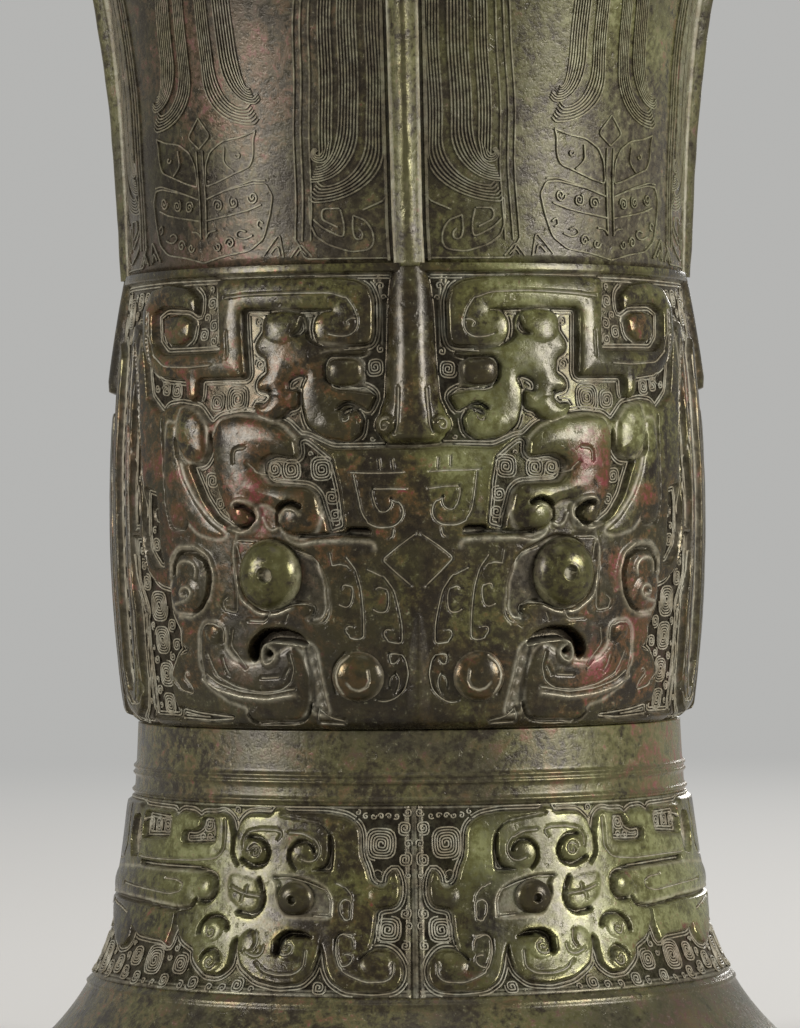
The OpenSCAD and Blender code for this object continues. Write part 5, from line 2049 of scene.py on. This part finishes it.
@dataclass
class Studio:
    """Pale floor that fades into a pale background, soft lamps and the camera of the photograph."""

    distance: float = 1.293
    eye_z: float = 0.1459
    offset: float = -0.0019
    lens: float = 179.0
    roll: float = 0.46
    turn: float = 0.98
    sensor: float = 36.0
    floor_half: float = 2.4
    fade_from: float = 0.2
    fade_to: float = 0.75
    pale: Colour = (0.62, 0.61, 0.59, 1.0)
    behind: Colour = (0.46, 0.46, 0.45, 1.0)
    even: Colour = (0.085, 0.087, 0.09, 1.0)

    def seen(self, n: Nodes) -> Socket:
        """One for rays that show the background, to the eye or in a shine, and nothing for spread light.

        Args:
            n: tree to work in.

        Returns:
            The socket.
        """
        path = n.add("ShaderNodeLightPath").outputs
        shown = n.maths("MAXIMUM", path["Is Camera Ray"], path["Is Glossy Ray"])
        return n.maths("MAXIMUM", shown, path["Is Transmission Ray"])

    def floor(self) -> None:
        """Square pale floor that fades into the background far from the vessel."""
        r = self.floor_half
        mesh = bpy.data.meshes.new("floor")
        mesh.from_pydata([(-r, -r, 0.0), (r, -r, 0.0), (r, r, 0.0), (-r, r, 0.0)], [], [(0, 1, 2, 3)])
        mat = bpy.data.materials.new("pale_floor")
        mat.use_nodes = True
        n = Nodes(mat.node_tree)
        shader = mat.node_tree.nodes["Principled BSDF"]
        shader.inputs["Base Color"].default_value = self.pale
        shader.inputs["Roughness"].default_value = 0.9
        far = n.add("ShaderNodeVectorMath", operation="LENGTH")
        n.feed(far.inputs[0], n.add("ShaderNodeTexCoord").outputs["Object"])
        fade = n.span(far.outputs["Value"], self.fade_from * r, self.fade_to * r)
        glow = n.add("ShaderNodeEmission")
        glow.inputs["Color"].default_value = self.behind
        blend = n.add("ShaderNodeMixShader")
        n.feed(blend.inputs[0], n.maths("MULTIPLY", fade, self.seen(n)))
        n.feed(blend.inputs[1], shader.outputs[0])
        n.feed(blend.inputs[2], glow.outputs[0])
        n.feed(mat.node_tree.nodes["Material Output"].inputs["Surface"], blend.outputs[0])
        mesh.materials.append(mat)
        floor = bpy.data.objects.new("floor", mesh)
        bpy.context.scene.collection.objects.link(floor)

    def world(self) -> bpy.types.World:
        """Room: the pale background where it is seen, and a weak even light.

        Returns:
            The world.
        """
        world = bpy.data.worlds.new("soft_room")
        world.use_nodes = True
        n = Nodes(world.node_tree)
        back = world.node_tree.nodes["Background"].inputs
        n.feed(back["Color"], n.mix(self.seen(n), self.even, self.behind))
        back["Strength"].default_value = 1.0
        return world

    def camera(self) -> bpy.types.Object:
        """Camera of the photograph, on a circle round the axis and a little beside it.

        Returns:
            The camera.
        """
        data = bpy.data.cameras.new("photo_view")
        data.sensor_fit = "VERTICAL"
        data.sensor_height = self.sensor
        data.lens = self.lens
        camera = bpy.data.objects.new("photo_view", data)
        turn = math.radians(-self.turn)
        x = self.distance * math.sin(turn) + self.offset * math.cos(turn)
        y = self.distance * -math.cos(turn) + self.offset * math.sin(turn)
        camera.location = (x, y, self.eye_z)
        camera.rotation_euler = (math.pi / 2, math.radians(self.roll), turn)
        bpy.context.scene.collection.objects.link(camera)
        return camera

    def build(self) -> None:
        """Sets the floor, the lamps, the world and the camera."""
        self.floor()
        for lamp in LAMPS:
            lamp.build()
        scene = bpy.context.scene
        scene.world = self.world()
        scene.view_settings.view_transform = "Standard"
        scene.camera = self.camera()


def main() -> None:
    """Builds the vessel and the studio."""
    logging.basicConfig(level=logging.INFO, format="%(message)s")
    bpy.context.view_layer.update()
    Belly().build()
    Foot().build()
    Neck().build()
    for stud in STUDS:
        for q in Quarter:
            stud.build(q)
    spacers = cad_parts["floor_spacers"]
    spacers.data.materials.clear()
    spacers.data.materials.append(SPACER.material())
    Studio().build()


if __name__ == "__main__":
    main()
